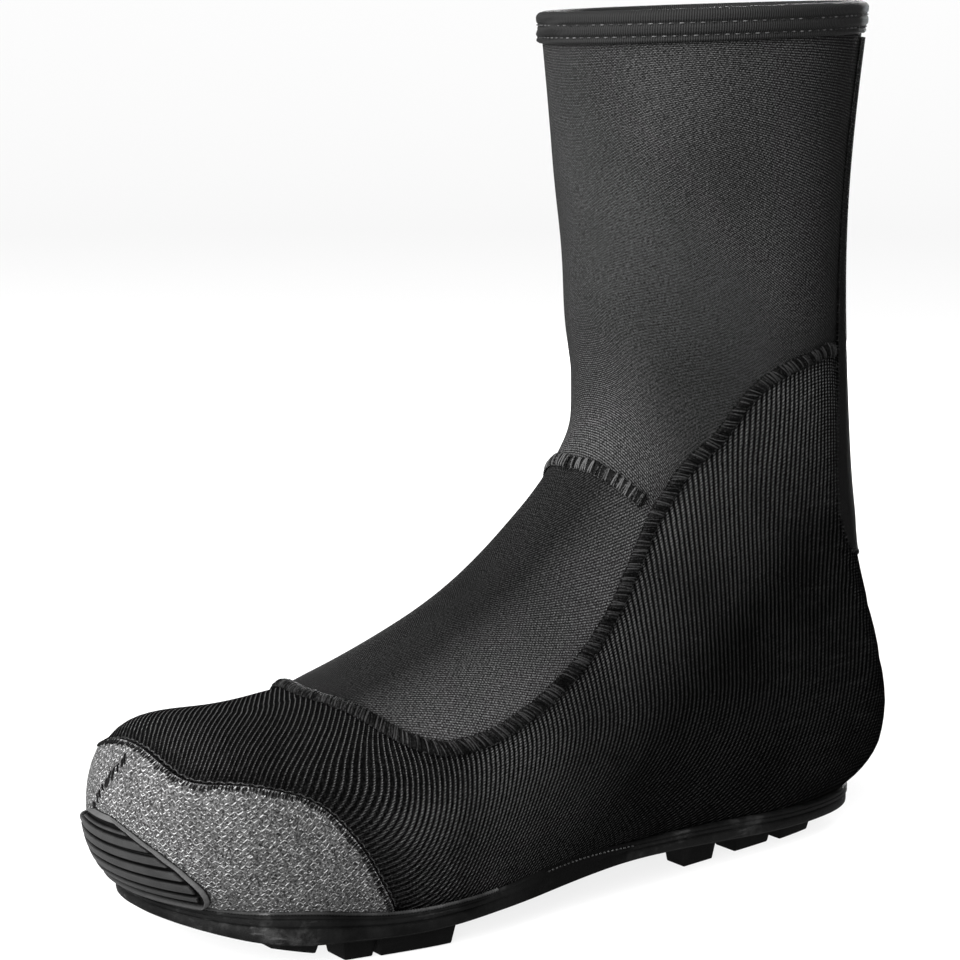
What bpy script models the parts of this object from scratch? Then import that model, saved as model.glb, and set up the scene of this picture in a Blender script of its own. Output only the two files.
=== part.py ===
"""Cycling overshoe for the left foot.

One neoprene upper, open at the collar and underneath, over a moulded rubber outsole with lugs.
The toe carries a two-piece woven guard and a ribbed rubber bumper; raised seams, a back panel
and a folded cuff binding lie on the upper. Sizes are in millimetres and the meshes are scaled to
metres. +X points to the toe, +Y to the foot's left, +Z up.
"""
import math

import bpy
import numpy as np

SCALE = 0.001

# Sizes that drive the form
UPPER_LENGTH = 297.0
BALL_WIDTH = 101.0
INSTEP_HEIGHT = 111.0
COLLAR_HEIGHT = 287.0
WALL = 3.0
GAP = 0.3

# Thickness of what lies on the upper
GUARD_THICKNESS = 0.9
GUARD_ABOVE_SOLE = 1.1
PANEL_THICKNESS = 1.2
BINDING_THICKNESS = 1.0
BINDING_DEPTH = 9.0
BINDING_INSIDE = 7.5
SEAM_WIDTH = 5.6
SEAM_HEIGHT = 1.3

# Mesh fineness of the upper and of what follows it
RINGS = 35
AROUND = 36
SOLE_STEPS = 42

# Sections of the last, toe to cuff. Each joins a point on the ridge (top) to a point on the
# base line. Lengths are shares of UPPER_LENGTH, half and mid_y of BALL_WIDTH, heights of
# INSTEP_HEIGHT on the foot and of COLLAR_HEIGHT on the shaft. widest is the share of the section's
# height at which it is widest; the powers round its upper and lower part.
COLUMNS = ("top_x", "top_z", "base_x", "base_z", "half", "mid_y", "widest", "top_power", "base_power")
FOOT_SECTIONS = {
    "tip": (0.999, 0.405, 0.999, 0.405, 0.000, -0.079, 0.50, 2.0, 2.0),
    "nose": (0.976, 0.556, 0.977, 0.212, 0.238, -0.079, 0.50, 2.1, 2.4),
    "toe": (0.944, 0.633, 0.930, 0.135, 0.376, -0.069, 0.42, 2.2, 3.0),
    "toe_box": (0.855, 0.640, 0.842, 0.090, 0.460, -0.050, 0.34, 2.3, 4.0),
    "ball": (0.727, 0.694, 0.694, 0.063, 0.500, -0.020, 0.30, 2.2, 5.0),
    "waist": (0.623, 0.815, 0.529, 0.081, 0.465, 0.000, 0.28, 2.2, 5.0),
    "instep": (0.512, 1.000, 0.327, 0.090, 0.411, 0.000, 0.26, 2.3, 5.0),
    "bend": (0.386, 1.423, 0.128, 0.063, 0.381, 0.000, 0.25, 2.5, 4.0),
}
SHAFT_SECTIONS = {
    "heel": (0.398, 0.638, -0.001, 0.082, 0.371, 0.000, 0.25, 2.6, 3.0),
    "counter": (0.405, 0.707, 0.026, 0.272, 0.381, 0.000, 0.32, 2.4, 2.3),
    "achilles": (0.409, 0.777, 0.050, 0.477, 0.396, 0.000, 0.42, 2.2, 2.1),
    "shaft": (0.415, 0.864, 0.061, 0.718, 0.436, 0.000, 0.48, 2.1, 2.0),
    "cuff": (0.425, 0.984, 0.046, 1.000, 0.510, 0.000, 0.50, 2.0, 2.0),
}
CUFF = len(FOOT_SECTIONS) + len(SHAFT_SECTIONS) - 1

# Lines drawn on the upper: section number and share of the half girth, 0 on the ridge and 1 on
# the base line
SIDE_SEAM = (
    (3.62, 0.000), (3.65, 0.065), (3.74, 0.145), (3.85, 0.226), (3.97, 0.274), (4.16, 0.313),
    (4.41, 0.332), (4.70, 0.339), (5.03, 0.334), (5.38, 0.319), (5.78, 0.293), (6.12, 0.262),
    (6.37, 0.229), (6.57, 0.206), (6.71, 0.196), (6.95, 0.200), (7.46, 0.225), (8.40, 0.303),
    (9.22, 0.409), (9.74, 0.514), (10.04, 0.600), (10.20, 0.670), (10.25, 0.708),
)
INSTEP_SEAM = ((6.58, 0.000), (6.60, 0.051), (6.63, 0.105), (6.655, 0.140), (6.68, 0.166))
GUARD_EDGE = (
    (1.32, -0.100), (1.32, 0.000), (1.33, 0.100), (1.38, 0.200), (1.62, 0.290), (2.08, 0.322),
    (2.42, 0.334), (2.71, 0.350), (2.98, 0.374), (3.14, 0.418), (3.29, 0.486), (3.41, 0.563),
    (3.51, 0.634), (3.60, 0.720),
)
PANEL_EDGE = (
    (12.6, 0.735), (11.4, 0.735), (10.27, 0.727), (9.96, 0.715), (9.58, 0.698), (9.20, 0.682),
    (9.00, 0.690), (8.95, 0.725), (9.08, 0.790), (9.24, 0.880), (9.32, 0.960), (9.33, 1.060),
)

# Sole lines from heel to toe: length from the heel, the edge where the upper ends, the lower
# edge of the side strip, and how far the strip stands out from the upper
SOLE_COLUMNS = ("length", "feather", "strip", "stand_out")
SOLE_LINES = (
    (0, 13.4, 6.0, 1.3),
    (53, 13.6, 6.8, 1.3),
    (84, 15.8, 8.8, 1.3),
    (113, 17.6, 11.2, 1.3),
    (132, 18.5, 12.0, 0.6),
    (154, 19.2, 10.6, -1.4),
    (179, 17.2, 8.6, -1.0),
    (194, 15.4, 8.0, 0.6),
    (206, 14.8, 7.4, 1.3),
    (226, 14.5, 6.8, 1.4),
    (242, 16.4, 7.6, 1.4),
    (258, 18.8, 8.6, 1.4),
    (272, 19.4, 10.8, 1.4),
    (283, 20.0, 13.2, 1.4),
    (298, 22.0, 16.4, 1.4),
)

# Side of the sole below the upper: share of the strip's height and distance beyond its face
STRIP_PROFILE = ((0.00, 0.0), (0.08, 0.4), (0.40, 0.4), (0.48, -0.4), (0.56, 0.1), (1.00, -0.2))
SOLE_EDGE_DROP = 0.8
SOLE_EDGE_INSET = 1.8

# Lugs under each side of the sole: front and back as lengths from the heel, height of the
# ground face above the floor at front and back, inset of the outer face from the strip, width
LUG_COLUMNS = ("front", "back", "front_rise", "back_rise", "inset", "width")
LUGS = {
    "toe": (264, 251, 6.6, 3.6, 5.0, 10.0),
    "ball_front": (242, 233, 0.0, 0.0, 5.0, 10.0),
    "ball": (231, 207, 0.0, 0.0, 4.0, 13.0),
    "tread": (187, 176, 6.2, 6.4, 5.0, 10.0),
    "heel_front": (101, 87, 0.0, 0.0, 9.0, 9.0),
    "heel": (76, 59, 0.0, 0.0, 9.0, 10.0),
    "heel_back": (54, 38, 0.0, 0.0, 7.5, 9.0),
}
LUG_DRAFT = 1.6

# Toe bumper: rows from the sole upward as a share of its height, and the half width along the
# toe at each; ribs run between the rim's two ends
BUMPER_TOP = 45.5
BUMPER_BASE = GAP + GUARD_THICKNESS + GAP + 0.1
BUMPER_RIM = 1.7
BUMPER_RIB = 1.5
BUMPER_GROOVE = 0.7
BUMPER_RIBS = 6
BUMPER_COLUMNS = 16
BUMPER_HALF = (
    (0.00, 31.0), (0.10, 34.0), (0.22, 35.5), (0.36, 34.0), (0.52, 30.0), (0.70, 24.0), (0.88, 15.0),
    (1.00, 7.0),
)

FABRIC_COLOUR = (0.035, 0.035, 0.038, 1.0)
GUARD_COLOUR = (0.22, 0.22, 0.23, 1.0)
RUBBER_COLOUR = (0.045, 0.045, 0.045, 1.0)
THREAD_COLOUR = (0.02, 0.02, 0.02, 1.0)


def spline(knots, values, at):
    """Natural cubic spline through the values, one column each."""
    knots = np.asarray(knots, float)
    values = np.asarray(values, float)
    values = values.reshape(len(knots), -1)
    count = len(knots)
    step = np.diff(knots)
    matrix = np.eye(count)
    right = np.zeros_like(values)
    for i in range(1, count - 1):
        matrix[i, i - 1:i + 2] = (step[i - 1], 2.0 * (step[i - 1] + step[i]), step[i])
        slope = (values[i + 1] - values[i]) / step[i]
        right[i] = 6.0 * (slope - (values[i] - values[i - 1]) / step[i - 1])
    bend = np.linalg.solve(matrix, right)
    at = np.atleast_1d(np.asarray(at, float))
    i = np.clip(np.searchsorted(knots, at) - 1, 0, count - 2)
    h = step[i][:, None]
    a = (knots[i + 1] - at)[:, None] / h
    b = 1.0 - a
    curve = ((a ** 3 - a) * bend[i] + (b ** 3 - b) * bend[i + 1]) * h * h / 6.0
    return a * values[i] + b * values[i + 1] + curve


def last_table():
    """Sections in millimetres, with two mirrored behind the tip so that the nose is round."""
    rows = []
    for sections, height in ((FOOT_SECTIONS, INSTEP_HEIGHT), (SHAFT_SECTIONS, COLLAR_HEIGHT)):
        sizes = (UPPER_LENGTH, height, UPPER_LENGTH, height, BALL_WIDTH, BALL_WIDTH, 1.0, 1.0, 1.0)
        for row in sections.values():
            rows.append(np.multiply(row, sizes))
    rows = np.array(rows)
    behind = rows[1:3][::-1].copy()
    behind[:, :4] = behind[:, [2, 3, 0, 1]]
    behind[:, COLUMNS.index("half")] *= -1.0
    return np.vstack([behind, rows])


LAST = last_table()
TOP_RUN = np.linalg.norm(np.diff(LAST[:, 0:2], axis=0), axis=1)
BASE_RUN = np.linalg.norm(np.diff(LAST[:, 2:4], axis=0), axis=1)
HALF_RUN = np.abs(np.diff(LAST[:, COLUMNS.index("half")]))
KNOTS = np.concatenate([[0.0], np.cumsum(0.5 * TOP_RUN + 0.5 * BASE_RUN + 0.3 * HALF_RUN)])
FINE_STEPS = 200
FINE_NUMBERS = np.linspace(0.0, CUFF, CUFF * FINE_STEPS + 1)
FINE_ROWS = spline(KNOTS, LAST, np.interp(FINE_NUMBERS, np.arange(CUFF + 1), KNOTS[2:]))


def section(number):
    """One section of the last, by its number from the tip."""
    place = min(max(number, 0.0), CUFF) * FINE_STEPS
    i = min(int(place), len(FINE_ROWS) - 2)
    t = place - i
    return dict(zip(COLUMNS, FINE_ROWS[i] * (1.0 - t) + FINE_ROWS[i + 1] * t))


def half_outline(row):
    """Height share and half width along a half section from its base, with the run along it."""
    turn = np.linspace(-math.pi / 2, math.pi / 2, 121)
    power = np.where(turn < 0.0, row["base_power"], row["top_power"])
    width = np.abs(np.cos(turn)) ** (2.0 / power)
    rise = np.sign(turn) * np.abs(np.sin(turn)) ** (2.0 / power)
    share = np.where(rise < 0.0, row["widest"] * (1.0 + rise), row["widest"] + rise * (1.0 - row["widest"]))
    span = math.hypot(row["top_x"] - row["base_x"], row["top_z"] - row["base_z"])
    run = np.hypot(np.diff(share) * span, np.diff(width) * row["half"])
    run = np.concatenate([[0.0], np.cumsum(run)])
    return share, width, run / max(run[-1], 1e-9)


def section_points(number, girths):
    """Points of one section; girth is 0 on the ridge, 1 on the base by the left, -1 by the right."""
    row = section(number)
    share, width, run = half_outline(row)
    girths = np.asarray(girths, float)
    along = 1.0 - np.abs(girths)
    height = np.interp(along, run, share)
    across = np.interp(along, run, width) * np.sign(girths)
    x = row["base_x"] + height * (row["top_x"] - row["base_x"])
    z = row["base_z"] + height * (row["top_z"] - row["base_z"])
    y = row["mid_y"] + across * row["half"]
    return np.stack([x, y, z], axis=-1)


def surface(numbers, girths):
    """Points of the upper's outside at pairs of section number and girth."""
    return np.array([section_points(n, [g])[0] for n, g in zip(numbers, girths)])


def surface_normals(numbers, girths):
    """Outward normals of the upper's outside at the same pairs."""
    numbers = np.clip(numbers, 0.05, CUFF - 0.05)
    girths = np.asarray(girths, float)
    along = surface(numbers + 0.03, girths) - surface(numbers - 0.03, girths)
    around = surface(numbers, girths + 0.01) - surface(numbers, girths - 0.01)
    return unit(np.cross(around, along))


def unit(vectors):
    """Vectors at length one."""
    return vectors / np.maximum(np.linalg.norm(vectors, axis=-1, keepdims=True), 1e-9)


class Skin:
    """A triangulated piece of the upper's outside, with normals and drawing coordinates."""

    def __init__(self, points, normals, drawing, triangles):
        self.points = points
        self.normals = normals
        self.drawing = drawing
        self.triangles = triangles

    def cut(self, field):
        """The piece where the field is positive, cut along its zero line."""
        field = np.where(np.abs(field) < 0.04, 0.0, field)
        points = list(self.points)
        normals = list(self.normals)
        drawing = list(self.drawing)
        triangles = []
        made = {}

        def crossing(i, j):
            key = (min(i, j), max(i, j))
            if key not in made:
                t = field[key[0]] / (field[key[0]] - field[key[1]])
                made[key] = len(points)
                points.append(points[key[0]] * (1 - t) + points[key[1]] * t)
                normals.append(unit(normals[key[0]] * (1 - t) + normals[key[1]] * t))
                drawing.append(drawing[key[0]] * (1 - t) + drawing[key[1]] * t)
            return made[key]

        for triangle in self.triangles:
            if max(field[triangle]) <= 0.0:
                continue
            loop = []
            for i, j in zip(triangle, np.roll(triangle, -1)):
                if field[i] >= 0.0:
                    loop.append(i)
                if field[i] * field[j] < 0.0:
                    loop.append(crossing(i, j))
            for k in range(1, len(loop) - 1):
                triangles.append((loop[0], loop[k], loop[k + 1]))
        used, renumbered = np.unique(np.array(triangles), return_inverse=True)
        return Skin(
            np.array(points)[used], np.array(normals)[used], np.array(drawing)[used],
            renumbered.reshape(-1, 3),
        )

    def borders(self):
        """Directed border edges of the piece."""
        edges = {}
        for a, b, c in self.triangles:
            for edge in ((a, b), (b, c), (c, a)):
                edges[edge] = True
        return [edge for edge in edges if (edge[1], edge[0]) not in edges]

    def shell(self, inner, outer):
        """Vertices and faces of a closed wall between two offsets from the piece."""
        count = len(self.points)
        vertices = np.vstack([self.points + self.normals * outer, self.points + self.normals * inner])
        faces = [tuple(t) for t in self.triangles]
        faces += [(c + count, b + count, a + count) for a, b, c in self.triangles]
        for a, b in self.borders():
            faces.append((b, a, a + count))
            faces.append((b, a + count, b + count))
        return vertices, faces


def whole_skin():
    """The upper's outside from the tip to the cuff, closed round its base."""
    fine = np.linspace(0.0, CUFF, 241)
    ridge = surface(fine, np.zeros(len(fine)))
    base = surface(fine, np.ones(len(fine)))
    run = np.linalg.norm(np.diff(ridge, axis=0), axis=1) + np.linalg.norm(np.diff(base, axis=0), axis=1)
    run = np.concatenate([[0.0], np.cumsum(run)])
    numbers = np.interp(np.linspace(0.0, run[-1], RINGS + 1), run, fine)
    girths = -1.0 + 2.0 * np.arange(AROUND) / AROUND
    rings = [section_points(n, girths) for n in numbers[1:]]
    points = np.vstack([section_points(0.0, [0.0])] + rings)
    drawing = [(0.0, 0.5)]
    for number in numbers[1:]:
        drawing += [(number, abs(g)) for g in girths]
    triangles = []
    for j in range(AROUND):
        k = (j + 1) % AROUND
        triangles.append((0, 1 + k, 1 + j))
        for i in range(RINGS - 1):
            a = 1 + i * AROUND
            b = a + AROUND
            if 2 * j < AROUND:
                triangles += [(a + j, b + k, b + j), (a + j, a + k, b + k)]
            else:
                triangles += [(a + j, a + k, b + j), (a + k, b + k, b + j)]
    triangles = np.array(triangles)
    corners = points[triangles]
    facing = np.cross(corners[:, 1] - corners[:, 0], corners[:, 2] - corners[:, 0])
    normals = np.zeros_like(points)
    for k in range(3):
        np.add.at(normals, triangles[:, k], facing)
    return Skin(points, unit(normals), np.array(drawing), triangles)


def side_of_line(line, drawing):
    """Signed distance of drawing points from a line, about in millimetres, positive on its left."""
    scale = np.array([25.0, 170.0])
    line = np.array(line)
    steps = np.linspace(0.0, len(line) - 1.0, 12 * len(line))
    path = spline(np.arange(len(line)), line, steps) * scale
    points = drawing * scale
    start = path[:-1]
    run = np.diff(path, axis=0)
    away = points[:, None] - start[None]
    share = np.clip((away * run).sum(-1) / (run * run).sum(-1), 0.0, 1.0)
    away = away - share[..., None] * run
    distance = np.linalg.norm(away, axis=-1)
    nearest = distance.argmin(axis=1)
    rows = np.arange(len(points))
    cross = run[nearest, 0] * away[rows, nearest, 1] - run[nearest, 1] * away[rows, nearest, 0]
    return np.sign(cross) * distance[rows, nearest]


def sole_line(name, x):
    """One line of the sole at lengths from the heel."""
    table = np.array(SOLE_LINES, float)
    return spline(table[:, 0], table[:, SOLE_COLUMNS.index(name)], x)[:, 0]


def feather_height(points):
    """Height of points above the line where the upper ends."""
    return points[:, 2] - sole_line("feather", points[:, 0])


def sole_loop(upper):
    """Left and right points of the upper's lower edge at even steps from heel to toe."""
    after = dict(edge for edge in upper.borders() if upper.points[edge[0], 2] < 100.0)
    first = next(iter(after))
    loop = [first]
    while after[loop[-1]] != first:
        loop.append(after[loop[-1]])
    loop = upper.points[loop]
    heel = loop[:, 0].argmin()
    loop = np.roll(loop, -heel, axis=0)
    toe = loop[:, 0].argmax()
    sides = []
    for path in (loop[:toe + 1], np.vstack([loop[toe:], loop[:1]])[::-1]):
        run = np.concatenate([[0.0], np.cumsum(np.linalg.norm(np.diff(path, axis=0), axis=1))])
        even = np.linspace(0.0, run[-1], SOLE_STEPS + 1)
        sides.append(np.stack([np.interp(even, run, path[:, k]) for k in range(3)], axis=1))
    sides.sort(key=lambda side: -side[SOLE_STEPS // 2, 1])
    return sides


def outward(loop):
    """Level outward directions of a closed loop that runs against the clock."""
    along = np.roll(loop, -1, axis=0) - np.roll(loop, 1, axis=0)
    return unit(np.stack([along[:, 1], -along[:, 0], np.zeros(len(loop))], axis=1))


def outsole_mesh(left, right):
    """Sole body: a flat top, the stepped side strip and a flat underside."""
    loop = np.vstack([right, left[-2:0:-1]])
    direction = outward(loop)
    x = loop[:, 0]
    top = sole_line("feather", x) - GAP
    strip = sole_line("strip", x)
    stand_out = sole_line("stand_out", x)
    relief = np.clip((stand_out + 1.4) / 2.7, 0.0, 1.0)
    layers = []
    for share, beyond in STRIP_PROFILE:
        layer = loop + direction * (stand_out + beyond * relief)[:, None]
        layer[:, 2] = top + share * (strip - top)
        layers.append(layer)
    under = loop + direction * (stand_out - SOLE_EDGE_INSET)[:, None]
    under[:, 2] = strip - SOLE_EDGE_DROP
    layers.append(under)
    count = len(loop)
    vertices = np.vstack(layers)
    faces = []
    for k in range(len(layers) - 1):
        for i in range(count):
            j = (i + 1) % count
            a, b = k * count, (k + 1) * count
            faces.append((a + i, b + i, b + j))
            faces.append((a + i, b + j, a + j))
    for base, flip in ((0, False), ((len(layers) - 1) * count, True)):
        for i in range(SOLE_STEPS):
            near = (i, i + 1)
            far = ((count - i) % count, count - i - 1)
            ladder = [(near[0], near[1], far[1]), (near[0], far[1], far[0])]
            for triangle in ladder:
                if len(set(triangle)) == 3:
                    corners = [base + v for v in triangle]
                    faces.append(tuple(corners[::-1]) if flip else tuple(corners))
    return vertices, faces


def lug_mesh(left, right):
    """Tapered lugs under both sides of the sole, each reaching up into it."""
    vertices = []
    faces = []
    for side, inward in ((left, -1.0), (right, 1.0)):
        order = np.argsort(side[:, 0])
        for front, back, front_rise, back_rise, inset, width in LUGS.values():
            lengths = np.linspace(back, front, 4)
            edge = np.interp(lengths, side[order, 0], side[order, 1])
            edge += inward * (inset - sole_line("stand_out", lengths))
            rise = np.linspace(back_rise, front_rise, 4)
            seat = sole_line("strip", lengths) + 2.0
            start = len(vertices)
            ends = np.linspace(-1.0, 1.0, 4)
            for level, draft in ((rise, 0.0), (seat, LUG_DRAFT)):
                for k in range(4):
                    x = lengths[k] + ends[k] * draft
                    vertices.append((x, edge[k] - inward * draft, level[k]))
                for k in range(4):
                    x = lengths[k] + ends[k] * draft
                    vertices.append((x, edge[k] + inward * (width + draft), level[k]))
            rows = [start, start + 4, start + 12, start + 8]
            block = []
            for a, b in zip(rows, rows[1:] + rows[:1]):
                for k in range(3):
                    block += [(a + k, a + k + 1, b + k + 1), (a + k, b + k + 1, b + k)]
            for k, turn in ((0, 1), (3, -1)):
                ring = [row + k for row in rows][::turn]
                block += [(ring[0], ring[1], ring[2]), (ring[0], ring[2], ring[3])]
            faces += block if inward > 0.0 else [face[::-1] for face in block]
    return np.array(vertices), faces


def toe_outline(height):
    """Outline of the toe at one height, from its left side round the front to its right."""
    top_x, top_z, base_x, base_z, half, mid_y, widest, top_power, base_power = FINE_ROWS[1:3 * FINE_STEPS].T
    share = (height - base_z) / (top_z - base_z)
    below = share < widest
    power = np.where(below, base_power, top_power)
    reach = np.where(below, widest, 1.0 - widest)
    inside = np.clip(1.0 - (np.abs(share - widest) / reach) ** power, 0.0, 1.0)
    width = inside ** (1.0 / power) * half
    x = base_x + share * (top_x - base_x)
    crossed = (share > 0.0) & (share < 1.0)
    left = np.stack([x, mid_y + width, np.full(len(x), height)], axis=1)[crossed]
    right = np.stack([x, mid_y - width, np.full(len(x), height)], axis=1)[crossed]
    return np.vstack([left[::-1], right])


def toe_point(height, arc):
    """Point and level outward direction on the toe, at an arc from its front, left positive."""
    path = toe_outline(height)
    run = np.concatenate([[0.0], np.cumsum(np.linalg.norm(np.diff(path, axis=0), axis=1))])
    front = np.interp(0.0, [-1.0, 1.0], [run[len(run) // 2 - 1], run[len(run) // 2]])
    at = front - arc
    point = np.array([np.interp(at, run, path[:, k]) for k in range(3)])
    ahead = np.array([np.interp(at + 2.0, run, path[:, k]) for k in range(3)])
    behind = np.array([np.interp(at - 2.0, run, path[:, k]) for k in range(3)])
    along = ahead - behind
    return point, along


def bumper_mesh():
    """Toe bumper: a raised rim round six ribs, curved to the toe."""
    profile = [(0.0, BUMPER_RIM), (0.07, BUMPER_RIM), (0.10, BUMPER_GROOVE)]
    low, high = 0.10, 0.90
    pitch = (high - low) / BUMPER_RIBS
    for k in range(BUMPER_RIBS):
        start = low + k * pitch
        profile.append((start + 0.30 * pitch, BUMPER_RIB))
        profile.append((start + 0.72 * pitch, BUMPER_RIB))
        profile.append((start + pitch, BUMPER_GROOVE))
    profile += [(0.93, BUMPER_RIM), (1.0, BUMPER_RIM)]
    across = np.linspace(-1.0, 1.0, BUMPER_COLUMNS + 1)
    outer = []
    inner = []
    for rise, relief in profile:
        half = np.interp(rise, [row[0] for row in BUMPER_HALF], [row[1] for row in BUMPER_HALF])
        for share in across:
            foot_point, _ = toe_point(26.0, share * half)
            foot = sole_line("feather", foot_point[0])[0] + 1.0
            height = foot + rise * (BUMPER_TOP - foot)
            point, along = toe_point(height, share * half)
            above, _ = toe_point(height + 1.0, share * half)
            normal = unit(np.cross(above - point, along))
            rim = abs(share) > 0.92
            inner.append(point + normal * BUMPER_BASE)
            outer.append(point + normal * (BUMPER_BASE + (BUMPER_RIM if rim else relief)))
    columns = len(across)
    rows = len(profile)
    count = rows * columns
    vertices = np.vstack([outer, inner])
    faces = []
    for i in range(rows - 1):
        for j in range(columns - 1):
            a = i * columns + j
            b = a + columns
            faces += [(a, a + 1, b + 1), (a, b + 1, b)]
            faces += [(b + 1 + count, a + 1 + count, a + count), (b + count, b + 1 + count, a + count)]
    rim = [j for j in range(columns)]
    rim += [i * columns + columns - 1 for i in range(1, rows)]
    rim += [(rows - 1) * columns + j for j in range(columns - 2, -1, -1)]
    rim += [i * columns for i in range(rows - 2, 0, -1)]
    for a, b in zip(rim, rim[1:] + rim[:1]):
        faces += [(b, a, a + count), (b, a + count, b + count)]
    return vertices, faces


def seam_mesh(line, steps):
    """A raised seam: a low rounded strip along a line on the left, over the ridge to the right."""
    line = np.array(line)
    path = spline(np.arange(len(line)), line, np.linspace(0.0, len(line) - 1.0, steps))
    path = np.vstack([path[::-1], path[1:] * (1.0, -1.0)])
    points = surface(path[:, 0], path[:, 1])
    normals = surface_normals(path[:, 0], path[:, 1])
    along = np.gradient(points, axis=0)
    across = unit(np.cross(normals, along))
    half = SEAM_WIDTH / 2.0
    low = GAP + 0.1
    profile = (
        (-half, low), (half, low), (half, low + 0.35), (0.6 * half, SEAM_HEIGHT + low),
        (-0.6 * half, SEAM_HEIGHT + low), (-half, low + 0.35),
    )
    layers = [points + across * side + normals * rise for side, rise in profile]
    count = len(points)
    vertices = np.vstack(layers)
    faces = []
    sides = len(profile)
    for k in range(sides):
        a = k * count
        b = ((k + 1) % sides) * count
        for i in range(count - 1):
            faces += [(a + i, a + i + 1, b + i + 1), (a + i, b + i + 1, b + i)]
    for end, turn in ((0, 1), (count - 1, -1)):
        ring = [k * count + end for k in range(sides)][::turn]
        faces += [(ring[0], ring[k], ring[k + 1]) for k in range(1, sides - 1)]
    return vertices, faces


def binding_mesh():
    """Folded band over the collar's edge, longer outside than inside."""
    girths = -1.0 + 2.0 * np.arange(AROUND) / AROUND
    top = section_points(CUFF, girths)
    below = section_points(CUFF - 0.3, girths)
    up = unit(top - below)
    around = np.roll(top, -1, axis=0) - np.roll(top, 1, axis=0)
    out = unit(np.cross(up, around))
    out *= np.sign((out * (top - top.mean(axis=0))).sum(axis=1, keepdims=True))
    drop = np.linalg.norm(top - below, axis=1, keepdims=True) / 0.3
    outside = np.array([section_points(CUFF - BINDING_DEPTH / d[0], [g])[0] for d, g in zip(drop, girths)])
    inside = np.array([section_points(CUFF - BINDING_INSIDE / d[0], [g])[0] for d, g in zip(drop, girths)])
    near = GAP + 0.1
    far = near + BINDING_THICKNESS
    layers = (
        outside + out * near,
        outside + out * far,
        top + out * far,
        top + out * (0.5 * far) + up * far,
        top - out * (WALL + 0.5 * far) + up * far,
        top - out * (WALL + far),
        inside - out * (WALL + far),
        inside - out * (WALL + near),
        top - out * (WALL + near) + up * near,
        top + out * near + up * near,
    )
    vertices = np.vstack(layers)
    faces = []
    for k in range(len(layers)):
        a = k * AROUND
        b = ((k + 1) % len(layers)) * AROUND
        for i in range(AROUND):
            j = (i + 1) % AROUND
            faces += [(a + i, a + j, b + j), (a + i, b + j, b + i)]
    return vertices, faces


def material(name, colour, roughness):
    """A plain surface for one sub-part."""
    made = bpy.data.materials.new(name)
    made.use_nodes = True
    shader = made.node_tree.nodes["Principled BSDF"]
    shader.inputs["Base Color"].default_value = colour
    shader.inputs["Roughness"].default_value = roughness
    made.diffuse_color = colour
    return made


def solid(name, vertices, faces, surface_material):
    """A mesh object in metres with its faces turned outward."""
    vertices = np.asarray(vertices, float)
    corners = vertices[np.array(faces)]
    volume = (corners[:, 0] * np.cross(corners[:, 1], corners[:, 2])).sum()
    if volume < 0.0:
        faces = [face[::-1] for face in faces]
    mesh = bpy.data.meshes.new(name)
    mesh.from_pydata((vertices * SCALE).tolist(), [], [tuple(int(v) for v in face) for face in faces])
    mesh.materials.append(surface_material)
    made = bpy.data.objects.new(name, mesh)
    bpy.context.scene.collection.objects.link(made)
    return made


def build():
    """All sub-parts, moved so that the shoe stands on the floor round the origin."""
    fabric = material("neoprene", FABRIC_COLOUR, 0.9)
    woven = material("guard_weave", GUARD_COLOUR, 0.85)
    rubber = material("sole_rubber", RUBBER_COLOUR, 0.6)
    bumper_rubber = material("bumper_rubber", RUBBER_COLOUR, 0.55)
    panel_fabric = material("back_neoprene", FABRIC_COLOUR, 0.85)
    knit = material("binding_knit", THREAD_COLOUR, 0.9)
    thread = material("seam_thread", THREAD_COLOUR, 0.8)

    skin = whole_skin()
    upper = skin.cut(feather_height(skin.points))
    parts = [solid("upper", *upper.shell(-WALL, 0.0), fabric)]

    left, right = sole_loop(upper)
    outsole = solid("outsole", *outsole_mesh(left, right), rubber)
    lugs = solid("outsole_lugs", *lug_mesh(left, right), rubber)
    lugs.hide_render = True
    lugs.display_type = "WIRE"
    union = outsole.modifiers.new("lugs", "BOOLEAN")
    union.operation = "UNION"
    union.solver = "EXACT"
    union.object = lugs
    union.use_self = True
    parts += [outsole, lugs]

    guard = skin.cut(feather_height(skin.points) - GUARD_ABOVE_SOLE)
    guard = guard.cut(side_of_line(GUARD_EDGE, guard.drawing))
    middle = np.array([section(n)["mid_y"] for n in guard.drawing[:, 0]])
    aside = guard.points[:, 1] - middle
    for name, turn in (("toe_guard_left", 1.0), ("toe_guard_right", -1.0)):
        half = guard.cut(turn * aside - 0.5 * GAP)
        parts.append(solid(name, *half.shell(GAP, GAP + GUARD_THICKNESS), woven))
    parts.append(solid("toe_bumper", *bumper_mesh(), bumper_rubber))

    panel = skin.cut(-side_of_line(PANEL_EDGE, skin.drawing))
    cuff = section_points(CUFF, [0.0])[0]
    slope = (cuff - section_points(CUFF, [1.0])[0])[[0, 2]]
    rise = cuff[2] - (cuff[0] - panel.points[:, 0]) * slope[1] / slope[0]
    panel = panel.cut(rise - BINDING_DEPTH - 1.5 - panel.points[:, 2])
    parts.append(solid("back_panel", *panel.shell(GAP, GAP + PANEL_THICKNESS), panel_fabric))

    parts.append(solid("side_seam", *seam_mesh(SIDE_SEAM, 38), thread))
    parts.append(solid("instep_seam", *seam_mesh(INSTEP_SEAM, 8), thread))
    parts.append(solid("cuff_binding", *binding_mesh(), knit))

    shown = [part for part in parts if part is not lugs]
    corners = np.vstack([[tuple(v.co) for v in part.data.vertices] for part in shown])
    low = corners.min(axis=0)
    high = corners.max(axis=0)
    for part in parts:
        part.location = (-(low[0] + high[0]) / 2.0, -(low[1] + high[1]) / 2.0, 0.0)


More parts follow.
